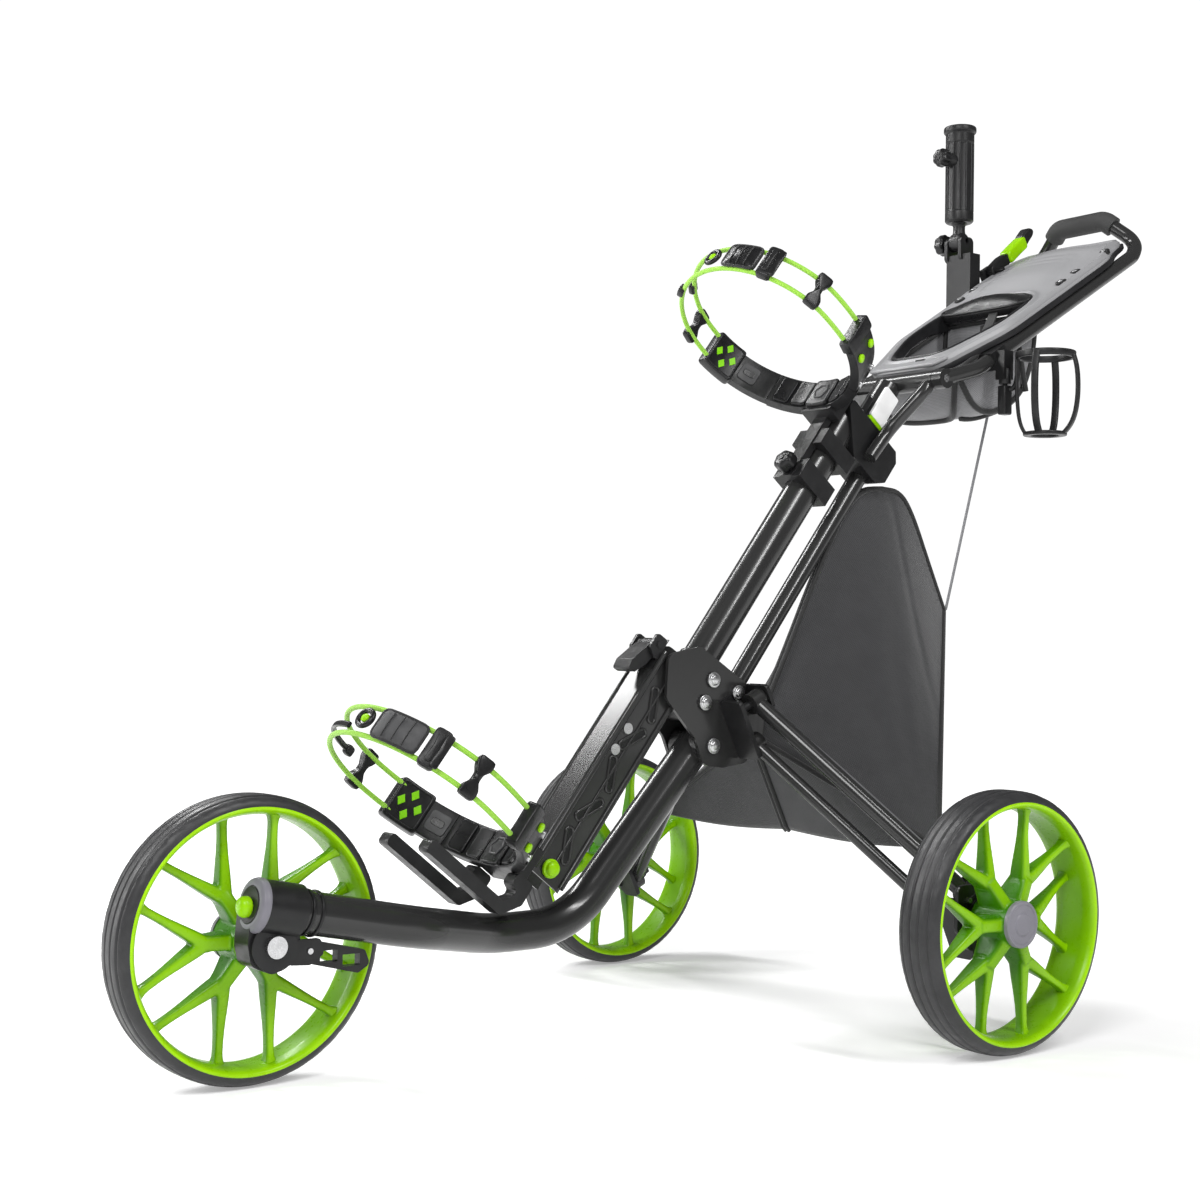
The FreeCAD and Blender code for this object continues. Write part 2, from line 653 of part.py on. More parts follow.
def leg_lug():
    """Lug on the right hinge plate with the pivots of both links."""
    top_plate = slab([(PLATE_OUT, -16), (68, -16), (68, 15), (PLATE_OUT, 15)], 21, 26, 5)
    low_plate = slab([(PLATE_OUT, -16), (68, -16), (68, 60), (PLATE_OUT, 60)], -26, -20, 5)
    back = box(PLATE_OUT, PLATE_OUT + 1.2, -16, 15, -26, 26)
    pin = cyl(V(LEG_PIVOT_X, 0, -26), V(0, 0, 1), 5, 52)
    low_pin = cyl(V(LEG_PIVOT_X, LEG_PITCH, -26), V(0, 0, 1), 4, 23.5)
    lug = top_plate.fuse(low_plate).fuse(back).fuse(pin).fuse(low_pin).removeSplitter()
    return leg_frame(lug)


def build_leg(name, right):
    """Links and wheel carrier of one side."""
    def out(shape):
        return shape if right else mirrored(shape)

    low = -LEG_LAYER
    high = LEG_LAYER
    upper = link(0, high, 10, 13, 9.5, 5)
    lower = link(LEG_PITCH, low, 8, 12, 8, 4)
    save(name + "_upper_link", out(leg_frame(upper)))
    save(name + "_lower_link", out(leg_frame(lower)))

    far_x, far_down = leg_end(0)
    jaw = [(far_x - 15, far_down - 15), (far_x + 15, far_down - 15), (far_x + 15, far_down + 62),
           (far_x - 15, far_down + 62)]
    jaw_short = [(far_x - 15, far_down - 15), (far_x + 15, far_down - 15),
                 (far_x + 15, far_down + 14), (far_x - 15, far_down + 14)]
    top_jaw = slab(jaw_short, 21, 26, 6)
    low_jaw = slab(jaw, -26, -20, 6)
    web = slab([(far_x + 14, far_down - 8), (far_x + 19, far_down - 8), (far_x + 19, far_down + 56),
                (far_x + 14, far_down + 56)], -26, 26, 2)
    upper_pin = cyl(V(far_x, far_down, -26), V(0, 0, 1), 5, 52)
    lower_pin = cyl(V(far_x, far_down + LEG_PITCH, -26), V(0, 0, 1), 4, 23.5)
    carrier = leg_frame(top_jaw.fuse(low_jaw).fuse(web).fuse(upper_pin).fuse(lower_pin))
    hub_side = REAR_TYRE_X - REAR_TYRE_W / 2
    boss = cyl(V(far_x + 13.5, REAR_AXLE_Y, AXLE_Z), V(1, 0, 0), 22, hub_side - far_x - 14.5)
    plate = prism([(714, 184), (770, 184), (786, 150), (782, 122), (764, 110), (734, 110),
                   (712, 134)], far_x + 13.5, far_x + 18.5, 9)
    carrier = carrier.fuse(boss).fuse(plate)
    bore = cyl(V(far_x, REAR_AXLE_Y, AXLE_Z), V(1, 0, 0), 6, 60)
    brake_bore = cyl(brake_pin_place(far_x), V(1, 0, 0), 3 + FIT, 60)
    carrier = carrier.cut(bore).cut(brake_bore).removeSplitter()
    save(name + "_carrier", out(carrier))
    return far_x


def build_legs():
    """Both rear legs."""
    for name, right in (("right", True), ("left", False)):
        far_x = build_leg(name, right)
        start = far_x + 13.5
        outer_end = REAR_TYRE_X + REAR_TYRE_W / 2 - 5
        axle = cyl(V(start, REAR_AXLE_Y, AXLE_Z), V(1, 0, 0), 6 - FIT, outer_end - start)
        pin = cyl(brake_pin_place(start - 2), V(1, 0, 0), 3, 12)
        save(name + "_axle", axle if right else mirrored(axle))
        save(name + "_brake_pin", pin if right else mirrored(pin))


# ---------------------------------------------------------- console, handle

def stem_points(side):
    """Corners of one lower rail between the joint housing and the handle hinge."""
    return [mast_point(side * 32, 352, -42), mast_point(side * 34, 402, -44),
            mast_point(side * 65, 460, -38), V(side * 65, HANDLE_HINGE.y, HANDLE_HINGE.z)]


def handle_points():
    """Corners of the handle's bent tube from its right eye round to its left eye."""
    right = [V(82, HANDLE_HINGE.y, HANDLE_HINGE.z), console_point(RAIL_X, 40, -27),
             console_point(RAIL_X, 425, -27), console_point(84, 458, -18),
             console_point(40, 462, 22)]
    left = [V(-p.x, p.y, p.z) for p in reversed(right)]
    return right + left


def build_joint(main_outer):
    """Housing at the top of the main tube, its stems up to the hinge, and the latch."""
    body = prism([(398, 21), (398, -80), (386, -90), (352, -90), (340, -76), (340, -25),
                  (386, 21)], -24, 24, 3)
    body = on_mast(body).cut(main_outer).cut(stay_bar(STAY_R))
    neck = on_mast(oval_bar(18, 17, 396, 471))
    shift = unit(MAST_TILT + 90) * -32
    neck.translate(shift)
    neck_inner = on_mast(oval_bar(16, 15, 399, 472))
    neck_inner.translate(shift)
    knuckle = cyl(V(-75, HANDLE_HINGE.y, HANDLE_HINGE.z), V(1, 0, 0), 13, 150)
    neck = neck.cut(neck_inner).cut(knuckle)
    save("joint_housing", body.cut(neck))
    stems = []
    for side in (-1, 1):
        points = stem_points(side)
        stems.append(swept(points, [60, 45], RAIL_R - 1))
    stem_body = stems[0].fuse(stems[1]).fuse(knuckle)
    stem_body = stem_body.cut(cyl(V(-120, HANDLE_HINGE.y, HANDLE_HINGE.z), V(1, 0, 0), 5, 240))
    stem_body = stem_body.cut(body).cut(neck).removeSplitter()
    save("handle_stems", [stem_body, neck])
    latch = soft_box(-14, 14, 400, 432, -14.5, -2, 3)
    latch = latch.fuse(cyl(V(-18, LATCH_PIVOT_A, LATCH_PIVOT_OUT), V(1, 0, 0), 3, 36)).removeSplitter()
    save("handle_latch", on_mast(latch))


def console_outline(inset):
    """Outline of the console's top in the console frame."""
    w = CONSOLE_HALF_W - inset
    lip = CONSOLE_LIP_HALF_W - inset
    top = CONSOLE_LENGTH - inset
    return [(-lip, inset), (lip, inset), (w, 118), (w, top - 40), (w - 30, top), (-w + 30, top),
            (-w, top - 40), (-w, 118)]


def build_console():
    """Console tray, mesh pouch, handle tube, grip and brake lever."""
    shell = slab(console_outline(0), -CONSOLE_T, 0, 18)
    opening = slab([(-46, 34), (46, 34), (80, 120), (80, 200), (60, 232), (-60, 232), (-80, 200),
                    (-80, 120)], -CONSOLE_T - 1, 1, 14)
    shell = shell.cut(opening)
    for side in (-1, 1):
        for up in (150, 340):
            saddle = box(side * RAIL_X - 8, side * RAIL_X + 8, up - 14, up + 14, -24, -CONSOLE_T)
            shell = shell.fuse(saddle)
    tube_points = handle_points()
    tube_radii = [60, 40, 32, 40, 40, 32, 40, 60]
    tube_outer = swept(tube_points, tube_radii, RAIL_R)
    shell = on_console(shell).cut(tube_outer)
    eye_gap = cyl(V(-130, HANDLE_HINGE.y, HANDLE_HINGE.z), V(1, 0, 0), 15, 260)
    shell = shell.cut(eye_gap)
    shell = max(shell.Solids, key=lambda solid: solid.Volume)
    save("console_shell", shell)

    tube = tube_outer.cut(swept(tube_points, tube_radii, RAIL_R - 2))
    for side in (-1, 1):
        eye = cyl(V(side * 76, HANDLE_HINGE.y, HANDLE_HINGE.z), V(side, 0, 0), 13, 16)
        tube = tube.cut(cyl(V(side * 70, HANDLE_HINGE.y, HANDLE_HINGE.z), V(side, 0, 0), 13, 22))
        tube = tube.fuse(eye)
    tube = tube.cut(cyl(V(-120, HANDLE_HINGE.y, HANDLE_HINGE.z), V(1, 0, 0), 5, 240))
    save("handle_frame", max(tube.removeSplitter().Solids, key=lambda solid: solid.Volume))

    start = tube_points[3] + (tube_points[4] - tube_points[3]) * 0.72
    grip_points = [start, tube_points[4], tube_points[5], V(-start.x, start.y, start.z)]
    grip = swept(grip_points, [20, 20], RAIL_R + 4.5)
    grip = grip.cut(tube_outer)
    save("handle_grip", max(grip.Solids, key=lambda solid: solid.Volume))
    return tube_outer, shell


def build_pouch(tube_outer):
    """Mesh pouch under the console: an open-topped bag with thin walls."""
    outer = prism(POUCH_OUTER, -POUCH_HALF_W, POUCH_HALF_W, 16)
    inner = prism(POUCH_INNER, -POUCH_HALF_W + POUCH_WALL, POUCH_HALF_W - POUCH_WALL, 14)
    bag = on_console(outer.cut(inner)).cut(tube_outer)
    gap = cyl(V(-130, HANDLE_HINGE.y, HANDLE_HINGE.z), V(1, 0, 0), 18, 260)
    bag = bag.cut(gap)
    save("console_pouch", max(bag.Solids, key=lambda solid: solid.Volume))


def build_brake_lever():
    """Green brake lever on the left rail with its clamp."""
    x0 = -CONSOLE_HALF_W
    clamp = box(x0 - 14, x0 + 20, 350, 372, -40, 14)
    clamp = clamp.cut(box(x0 - 4, x0 + 10, 349, 373, -1, 20))
    pivot = cyl(V(x0 - 16, *BRAKE_PIVOT), V(1, 0, 0), 3, 40)
    lever = prism(BRAKE_LEVER, x0 - 3.5, x0 + 9.5, 4)
    return clamp, pivot, lever


def build_holders(tube_outer, shell):
    """Brake lever, umbrella holder and cup holder on the handle's rails."""
    clamp, pivot, lever = build_brake_lever()
    clamp = on_console(clamp.cut(pivot)).cut(tube_outer).cut(shell)
    rail_clamps = [max(clamp.Solids, key=lambda solid: solid.Volume), on_console(pivot)]
    hole = cyl(V(-130, *BRAKE_PIVOT), V(1, 0, 0), 3 + FIT, 60)
    save("brake_lever", on_console(lever.cut(hole)))

    build_umbrella_holder(tube_outer)
    rail_clamps.append(build_cup_holder(tube_outer))
    save("rail_clamps", rail_clamps)


def rail_clamp(side, along, tube_outer):
    """Block round the handle's rail, outside the pouch, at a place along the console."""
    block = box(80, 106, along - 14, along + 14, -41, -16.4)
    if side < 0:
        block = mirrored(block)
    return on_console(block).cut(tube_outer)


def build_umbrella_holder(tube_outer):
    """Post on the left rail, the tilting tube and its two knobs."""
    x, y, z = UMBRELLA_X, UMBRELLA_Y, UMBRELLA_TILT_Z
    base = rail_clamp(-1, UMBRELLA_CLAMP_A, tube_outer)
    base = base.fuse(box(-150, -104.5, y - 11, y + 11, z - 121, z - 21))
    ear = [(y - 14, z - 31), (y + 14, z - 31), (y + 14, z + 6), (y - 14, z + 6)]
    base = base.fuse(prism(ear, -152, -146.3, 8)).fuse(prism(ear, -125.7, -120, 8))
    screw_hole = cyl(V(-170, y, z), V(1, 0, 0), 4 + FIT, 60)
    base = base.cut(screw_hole).removeSplitter()
    save("umbrella_base", max(base.Solids, key=lambda solid: solid.Volume))
    knob = cyl(V(-158, y, z), V(1, 0, 0), 4, 42).fuse(cyl(V(-174, y, z), V(1, 0, 0), 15, 16))
    save("umbrella_tilt_knob", knob.removeSplitter())

    low = z + UMBRELLA_TUBE_LOW
    top = z + UMBRELLA_TUBE_TOP
    clamp_z = z + UMBRELLA_SCREW
    stalk = cyl(V(-146, y, z), V(1, 0, 0), 13, 20)
    stalk = stalk.fuse(cyl(V(x, y, z), V(0, 0, 1), 9, UMBRELLA_TUBE_LOW + 6))
    tube = cyl(V(x, y, low), V(0, 0, 1), UMBRELLA_BORE_R + 6, top - low)
    rim = cyl(V(x, y, top - 8), V(0, 0, 1), UMBRELLA_BORE_R + 9, 8)
    boss = cyl(V(x, y, clamp_z), V(0, -1, 0), 10, 30)
    holder = stalk.fuse(tube).fuse(rim).fuse(boss)
    holder = holder.cut(cyl(V(x, y, low + 8), V(0, 0, 1), UMBRELLA_BORE_R, top - low))
    holder = holder.cut(screw_hole).cut(cyl(V(x, y, clamp_z), V(0, -1, 0), 4 + FIT, 60))
    save("umbrella_tube", holder.removeSplitter())
    clamp_knob = cyl(V(x, y - 18, clamp_z), V(0, -1, 0), 4, 16)
    clamp_knob = clamp_knob.fuse(cyl(V(x, y - 32, clamp_z), V(0, -1, 0), 13, 13))
    save("umbrella_clamp_knob", clamp_knob.removeSplitter())


def build_cup_holder(tube_outer):
    """Ribbed cup ring on its swing pin; returns the clamp that holds it on the right rail."""
    x, y, z = CUP_PIN_X, CUP_PIN_Y, CUP_PIN_Z
    arm = rail_clamp(1, CUP_CLAMP_A, tube_outer)
    arm = arm.fuse(box(x - 8.5, x + 6, y - 9, y + 9, z + 6, z + 44))
    arm = arm.fuse(cyl(V(x, y, z), V(0, 0, 1), 8, 20))
    arm = arm.cut(cyl(V(x, y, z - 16), V(0, 0, 1), 4, 70))
    pin = cyl(V(x, y, z - 24), V(0, 0, 1), 4 - FIT, 44)
    post = box(x - 7, x + 7, y - 9, y + 9, z - 41, z - 2)
    centre = V(CUP_X, CUP_Y, 0)
    ring_z = V(0, 0, CUP_RING_Z)
    holder = cyl(centre + ring_z, V(0, 0, 1), CUP_BORE_R + 5.5, 9)
    holder = holder.cut(cyl(centre + ring_z, V(0, 0, 1), CUP_BORE_R, 9))
    floor_z = V(0, 0, CUP_FLOOR_Z)
    floor = cyl(centre + floor_z, V(0, 0, 1), CUP_FOOT_R + 3, 5)
    holder = holder.fuse(floor.cut(cyl(centre + floor_z, V(0, 0, 1), 18, 5)))
    for angle in CUP_RIB_ANGLES:
        turn = V(math.cos(math.radians(angle)), math.sin(math.radians(angle)), 0)
        foot = centre + floor_z + turn * CUP_FOOT_R + V(0, 0, 2)
        head = centre + ring_z + turn * CUP_HEAD_R + V(0, 0, 6)
        holder = holder.fuse(rod(foot, head, 3))
    inward = V(x - CUP_X, y - CUP_Y, 0).normalize() * (CUP_BORE_R + 3.5)
    riser = centre + inward + V(0, 0, z - 8)
    bridge = box(x - 7, x + 18, y - 4, y + 11, z - 10, z - 2)
    bridge = bridge.fuse(cyl(riser, V(0, 0, 1), 3, CUP_RING_Z + 7 - riser.z))
    holder = holder.fuse(post).fuse(bridge).fuse(pin)
    save("cup_ring", holder.removeSplitter())
    return max(arm.removeSplitter().Solids, key=lambda solid: solid.Volume)


# ------------------------------------------------------------- soft pieces

def pyramid(base, apex):
    """Closed solid with a flat four-sided base and one apex."""
    faces = [Part.Face(Part.makePolygon(base + [base[0]]))]
    for i in range(4):
        corners = [base[i], base[(i + 1) % 4], apex]
        faces.append(Part.Face(Part.makePolygon(corners + [corners[0]])))
    return Part.makeSolid(Part.makeShell(faces))


def build_net():
    """Storage net between the rear stay and the rear legs, one half for each side."""
    wall = 3.0
    top = (922, 650)
    back = (1041, 499)
    front = (687, 334)
    bottom = (752, 212)
    corner = V(258, 746, 218)
    outline = [top, back, bottom, front]
    outer = pyramid([V(1, y, z) for y, z in outline], corner)
    middle_y = sum(y for y, z in outline) / 4
    middle_z = sum(z for y, z in outline) / 4
    inner_base = []
    for y, z in outline:
        reach = math.hypot(y - middle_y, z - middle_z)
        keep = 1 - 2.4 * wall / reach
        inner_base.append(V(-2, middle_y + (y - middle_y) * keep, middle_z + (z - middle_z) * keep))
    inner = pyramid(inner_base, corner - V(6 * wall, 0, -wall))
    half = outer.cut(inner)
    slot = prism([(930, 660), (960, 660), (1060, 505), (1046, 470), (1000, 520), (915, 630)], 0, 14)
    half = half.cut(slot)
    half = max(half.Solids, key=lambda solid: solid.Volume)
    save("net_right", half)
    save("net_left", mirrored(half))


def build_cords():
    """Elastic cord that holds the net's back corner up, and the brake cable along the right leg."""
    top = console_point(*NET_CORD_TOP)
    save("net_cord", rod(NET_CORD_LOW, top, THIN_CORD_R))
    route = [V(34, 24, 27), V(66, 27, 25), V(124, 69, 23.6), V(232, 173, 23.6), V(272, 211, 23.6)]
    print_radii("brake cable", route, THIN_CORD_R)
    cable = swept(route, natural_radii(route), THIN_CORD_R)
    save("brake_cable", leg_frame(cable))


def main():
    """Write every node."""
    os.makedirs("parts", exist_ok=True)
    build_wheels()
    build_front_arm()
    build_mast()
    main_outer = on_mast(oval_bar(MAIN_HALF_WIDE, MAIN_HALF_DEEP, MAIN_START, MAIN_END))
    build_lower_bracket()
    build_upper_bracket()
    build_legs()
    build_joint(main_outer)
    tube_outer, shell = build_console()
    build_pouch(tube_outer)
    build_holders(tube_outer, shell)
    build_net()
    build_cords()


main()
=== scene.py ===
"""Looks of a folding three-wheel golf push cart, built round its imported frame.

Sizes in this file are millimetres, counted from the front axle as the cart's drawing counts them;
cart() and the tilted frames below turn them to metres in the row frame.  X runs across the cart,
+Y from the front wheel to the handle, +Z up.
"""
from __future__ import annotations

import logging
import math
from dataclasses import dataclass
from enum import Enum
from typing import Callable, Sequence

import bmesh
import bpy
import numpy as np
from mathutils import Matrix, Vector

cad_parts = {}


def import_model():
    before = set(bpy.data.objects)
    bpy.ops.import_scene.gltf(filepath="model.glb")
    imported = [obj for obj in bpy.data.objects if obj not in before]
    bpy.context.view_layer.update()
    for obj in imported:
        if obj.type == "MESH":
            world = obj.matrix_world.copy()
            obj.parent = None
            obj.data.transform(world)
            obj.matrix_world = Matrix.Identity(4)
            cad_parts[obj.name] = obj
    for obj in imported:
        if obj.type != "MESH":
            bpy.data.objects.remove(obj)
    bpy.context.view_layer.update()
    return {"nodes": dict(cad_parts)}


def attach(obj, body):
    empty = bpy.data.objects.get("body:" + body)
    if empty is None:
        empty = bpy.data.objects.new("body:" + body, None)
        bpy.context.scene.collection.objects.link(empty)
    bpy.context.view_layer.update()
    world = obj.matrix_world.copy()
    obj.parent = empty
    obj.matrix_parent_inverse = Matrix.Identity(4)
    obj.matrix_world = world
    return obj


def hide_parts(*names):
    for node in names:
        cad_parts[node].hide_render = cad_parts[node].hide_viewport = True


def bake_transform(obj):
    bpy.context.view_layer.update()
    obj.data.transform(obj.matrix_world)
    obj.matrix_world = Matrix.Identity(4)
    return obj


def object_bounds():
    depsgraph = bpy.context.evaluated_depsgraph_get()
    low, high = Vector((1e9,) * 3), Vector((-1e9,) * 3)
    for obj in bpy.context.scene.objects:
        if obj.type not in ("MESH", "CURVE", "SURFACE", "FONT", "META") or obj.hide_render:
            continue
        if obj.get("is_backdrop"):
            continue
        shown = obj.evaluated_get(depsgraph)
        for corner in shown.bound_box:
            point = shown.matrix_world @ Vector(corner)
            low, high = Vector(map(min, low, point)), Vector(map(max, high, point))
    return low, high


LOG = logging.getLogger("push_cart")
MM = 0.001
SHIFT_Y = -606.7
SHARP_ANGLE = math.radians(38)
ALL_SMOOTH = math.radians(180)

Array = np.ndarray
Place = Callable[[Array, Array, Array], Array]
ACROSS = np.array([1.0, 0.0, 0.0])


class Side(Enum):
    """The two sides of the cart, with the sign of X on each."""

    RIGHT = 1
    LEFT = -1

    @property
    def word(self) -> str:
        """Lower-case name, as the frame's nodes use it."""
        return self.name.lower()


# ------------------------------------------------------------------ places

def cart(x: Array | float, y: Array | float, z: Array | float) -> Array:
    """Turns cart millimetres into row-frame metres.

    Args:
        x, y, z: Numbers or arrays that broadcast; y counts from the front axle.

    Returns:
        An array whose last axis is (x, y, z) in metres.
    """
    x, y, z = np.broadcast_arrays(np.asarray(x, float), y, z)
    return np.stack([x, y + SHIFT_Y, z], axis=-1) * MM


@dataclass(frozen=True)
class Slope:
    """A tilted frame: across, along its slope, and out, square to the slope."""

    y: float
    z: float
    degrees: float

    def place(self, across: Array | float, along: Array | float, out: Array | float) -> Array:
        """Row-frame metres: origin + along * slope direction + out * the slope's normal."""
        turn = math.radians(self.degrees)
        y = self.y + np.asarray(along) * math.cos(turn) - np.asarray(out) * math.sin(turn)
        z = self.z + np.asarray(along) * math.sin(turn) + np.asarray(out) * math.cos(turn)
        return cart(across, y, z)

    def flat(self, across: float, along: float) -> Place:
        """Place for slabs lying on the slope; u runs across it, v along it, height out."""
        return lambda u, v, height: self.place(across + u, along + v, height)

    def upright(self, along: float, out: float, lift: float = 0.0, side: int = 1) -> Place:
        """Place for slabs that rise across the cart; u runs along the slope, v out from it."""
        return lambda u, v, height: self.place((lift + height) * side, along + u, out + v)

    def drawing(self, across: float, along: float, out: float) -> Array:
        """The same point in cart millimetres."""
        return self.place(across, along, out) / MM - (0.0, SHIFT_Y, 0.0)


@dataclass(frozen=True)
class BagCircle:
    """The circle round the bag at one bracket, square to the main tube."""

    slope: Slope
    along: float
    out: float

    def place(self, degrees: Array | float, along: Array | float, radius: Array | float) -> Array:
        """Point at an angle (0 is +X, 90 is away from the tube), a height and a radius."""
        turn = np.radians(degrees)
        return self.slope.place(np.cos(turn) * radius, self.along + np.asarray(along),
                                self.out + np.sin(turn) * radius)

    def patch(self, degrees: float, along: float = 0.0) -> Place:
        """Place for slabs wrapped on the bag; u runs round it, v along it, height out from it."""
        return lambda u, v, height: self.place(degrees + np.degrees(u / BAG_RADIUS), along + v,
                                               BAG_RADIUS + height)

    def outward(self, degrees: float) -> Array:
        """Unit direction away from the bag at an angle."""
        return (self.place(degrees, 0.0, 1.0) - self.place(degrees, 0.0, 0.0)) / MM


MAST = Slope(611.0, 441.0, 51.9)
CONSOLE = Slope(950.0, 818.0, 30.5)
LEG = Slope(637.0, 376.0, -63.98)
LOWER_CIRCLE = BagCircle(MAST, -360.0, 215.0)
UPPER_CIRCLE = BagCircle(MAST, 383.0, 167.0)
BAG_RADIUS = 119.0
CONSOLE_OUT = (0.0, -0.5, 0.86)
SADDLE = -90.0


# -------------------------------------------------------------- mesh making

def circle(radius: float, count: int) -> Array:
    """(count, 2) points at equal turns round the origin."""
    turn = np.arange(count) * (2 * math.pi / count)
    return radius * np.stack([np.cos(turn), np.sin(turn)], axis=-1)


def rounded(corners: Sequence[tuple[float, float]], radius: float, steps: int = 4) -> Array:
    """Closed outline with each corner rounded.

    Each corner c becomes the curve (1-t)^2 a + 2t(1-t) c + t^2 b, where a and b lie on its two
    sides, radius from c or 45% of the side if that is less.

    Args:
        corners: The outline's corners in order.
        radius: Distance from a corner at which rounding starts.
        steps: Points per corner.

    Returns:
        (corners * steps, 2) points.
    """
    c = np.asarray(corners, float)
    to_last, to_next = np.roll(c, 1, 0) - c, np.roll(c, -1, 0) - c
    last = np.linalg.norm(to_last, axis=1, keepdims=True)
    following = np.linalg.norm(to_next, axis=1, keepdims=True)
    a = c + to_last / last * np.minimum(radius, 0.45 * last)
    b = c + to_next / following * np.minimum(radius, 0.45 * following)
    t = np.linspace(0, 1, steps)[None, :, None]
    curve = (1 - t) ** 2 * a[:, None] + 2 * t * (1 - t) * c[:, None] + t ** 2 * b[:, None]
    return curve.reshape(-1, 2)


def bar_section(half_wide: float, half_high: float, corner: float) -> Array:
    """Rounded rectangle centred on the origin."""
    w, h = half_wide, half_high
    return rounded([(-w, -h), (w, -h), (w, h), (-w, h)], corner, 4)


def smooth_line(corners: Sequence[Sequence[float]], count: int) -> Array:
    """Quadratic B-spline through the first and last corner.

    Between corners the curve is the usual blend of three neighbours with weights
    (1-t)^2/2, 1/2 + t(1-t) and t^2/2; mirrored end points make it start and end on them.

    Args:
        corners: (n, 2) or (n, 3) points.
        count: How many points to return.

    Returns:
        (count, 2) or (count, 3) points.
    """
    c = np.asarray(corners, float)
    c = np.vstack([2 * c[0] - c[1], c, 2 * c[-1] - c[-2]])
    spans = len(c) - 2
    u = np.linspace(0.5, spans - 0.5, count)
    i = np.minimum(u.astype(int), spans - 1)
    t = (u - i)[:, None]
    return (1 - t) ** 2 / 2 * c[i] + (0.5 + t * (1 - t)) * c[i + 1] + t ** 2 / 2 * c[i + 2]


def sweep(path: Array, section: Array, up: Sequence[float], closed: bool = False) -> Array:
    """Carries a section along a path.

    At each station the side vector is tangent x up and the lift vector is side x tangent; a
    section point (s, l) lands at path + s * side + l * lift.

    Args:
        path: (n, 3) points.
        section: (m, 2) or (n, m, 2) points, in the path's own unit.
        up: Direction that is never along the path.
        closed: Whether the path's last point joins its first.

    Returns:
        (n, m, 3) points.
    """
    if closed:
        tangent = np.roll(path, -1, 0) - np.roll(path, 1, 0)
    else:
        tangent = np.gradient(path, axis=0)
    tangent /= np.linalg.norm(tangent, axis=1, keepdims=True)
    side = np.cross(tangent, np.asarray(up, float))
    side /= np.linalg.norm(side, axis=1, keepdims=True)
    lift = np.cross(side, tangent)
    return path[:, None] + section[..., :1] * side[:, None] + section[..., 1:] * lift[:, None]


def bead(line: Array, radius: float, up: Sequence[float], around: int = 12,
         closed: bool = False) -> Array:
    """Round bar of a radius in millimetres along metre points; up is never along them."""
    return sweep(line, circle(radius * MM, around), up, closed)


def hoop(place: Place, outline: Array, height: float, radius: float, up: Sequence[float],
         around: int = 10) -> Array:
    """Closed round bar that follows an outline laid down by place at one height."""
    return bead(place(*outline.T, height), radius, up, around, True)


def slab(outline: Array, low: float, high: float, edge: float, place: Place,
         crown: float = 0.0) -> Array:
    """Grid of a slab with rounded edges over a star-shaped outline.

    Rows run from the middle of the low face out to the wall and back over the high face.  A row's
    points are middle + (outline - middle) * share, where the share falls by the edge radius times
    1 - sin(turn) while the height changes by edge * (1 - cos(turn)).

    Args:
        outline: (k, 2) closed outline.
        low, high: The two face heights.
        edge: Edge radius.
        place: Turns (u, v, height) arrays into points.
        crown: Extra height of the high face at its middle.

    Returns:
        (rows, k, 3) points.
    """
    middle = outline.mean(0)
    away = outline - middle
    reach = np.linalg.norm(away, axis=1)
    turn = np.linspace(0, math.pi / 2, 4)
    flat = np.array([0.02, 0.35, 0.65, 0.85])
    in_edge = 1 - edge * (1 - np.sin(turn))[:, None] / reach
    flat_share = flat[:, None] * in_edge[:1]
    share = np.vstack([flat_share, in_edge, in_edge[::-1], flat_share[::-1]])
    rise = edge * (1 - np.cos(turn))
    height = np.concatenate([np.full(4, low), low + rise, high - rise[::-1],
                             high + crown * (1 - flat[::-1] ** 2)])
    points = middle + away[None] * share[..., None]
    return place(points[..., 0], points[..., 1], np.broadcast_to(height[:, None], share.shape))


class Skin:
    """Collects grids of points into one mesh of closed shells."""

    def __init__(self) -> None:
        """Starts empty."""
        self.points: list[Array] = []
        self.faces: list[list[int]] = []
        self.size = 0

    def add(self, grid: Array, wrap_rows: bool = False, wrap_cols: bool = True,
            cap: bool = True) -> "Skin":
        """Adds a grid as quads.

        Args:
            grid: (rows, cols, 3) points in metres.
            wrap_rows: Whether the last row joins the first.
            wrap_cols: Whether the last column joins the first.
            cap: Whether the first and last row of a tube are closed.

        Returns:
            This skin.
        """
        rows, cols = grid.shape[:2]
        index = np.arange(rows * cols).reshape(rows, cols) + self.size
        low = index if wrap_rows else index[:-1]
        high = np.roll(index, -1, 0) if wrap_rows else index[1:]
        low_next, high_next = np.roll(low, -1, 1), np.roll(high, -1, 1)
        if not wrap_cols:
            low, high = low[:, :-1], high[:, :-1]
            low_next, high_next = low_next[:, :-1], high_next[:, :-1]
        self.faces += np.stack([low, low_next, high_next, high], -1).reshape(-1, 4).tolist()
        if cap and wrap_cols and not wrap_rows:
            self.faces += [index[0][::-1].tolist(), index[-1].tolist()]
        self.points.append(grid.reshape(-1, 3))
        self.size += rows * cols
        return self

    def build(self, name: str, finish: "Finish", body: str | None,
              **more: object) -> bpy.types.Object:
        """Makes the object, dresses it and lets it ride.

        Args:
            name: Piece name.
            finish: Its material.
            body: The frame body it moves with, or None to leave that to the caller.
            more: Further arguments of dress().

        Returns:
            The new object.
        """
        mesh = bpy.data.meshes.new(name)
        mesh.from_pydata(np.vstack(self.points).tolist(), [], self.faces)
        shell = bmesh.new()
        shell.from_mesh(mesh)
        bmesh.ops.recalc_face_normals(shell, faces=shell.faces)
        shell.to_mesh(mesh)
        shell.free()
        obj = bpy.data.objects.new(name, mesh)
        bpy.context.scene.collection.objects.link(obj)
        return dress(obj, finish, body, **more)


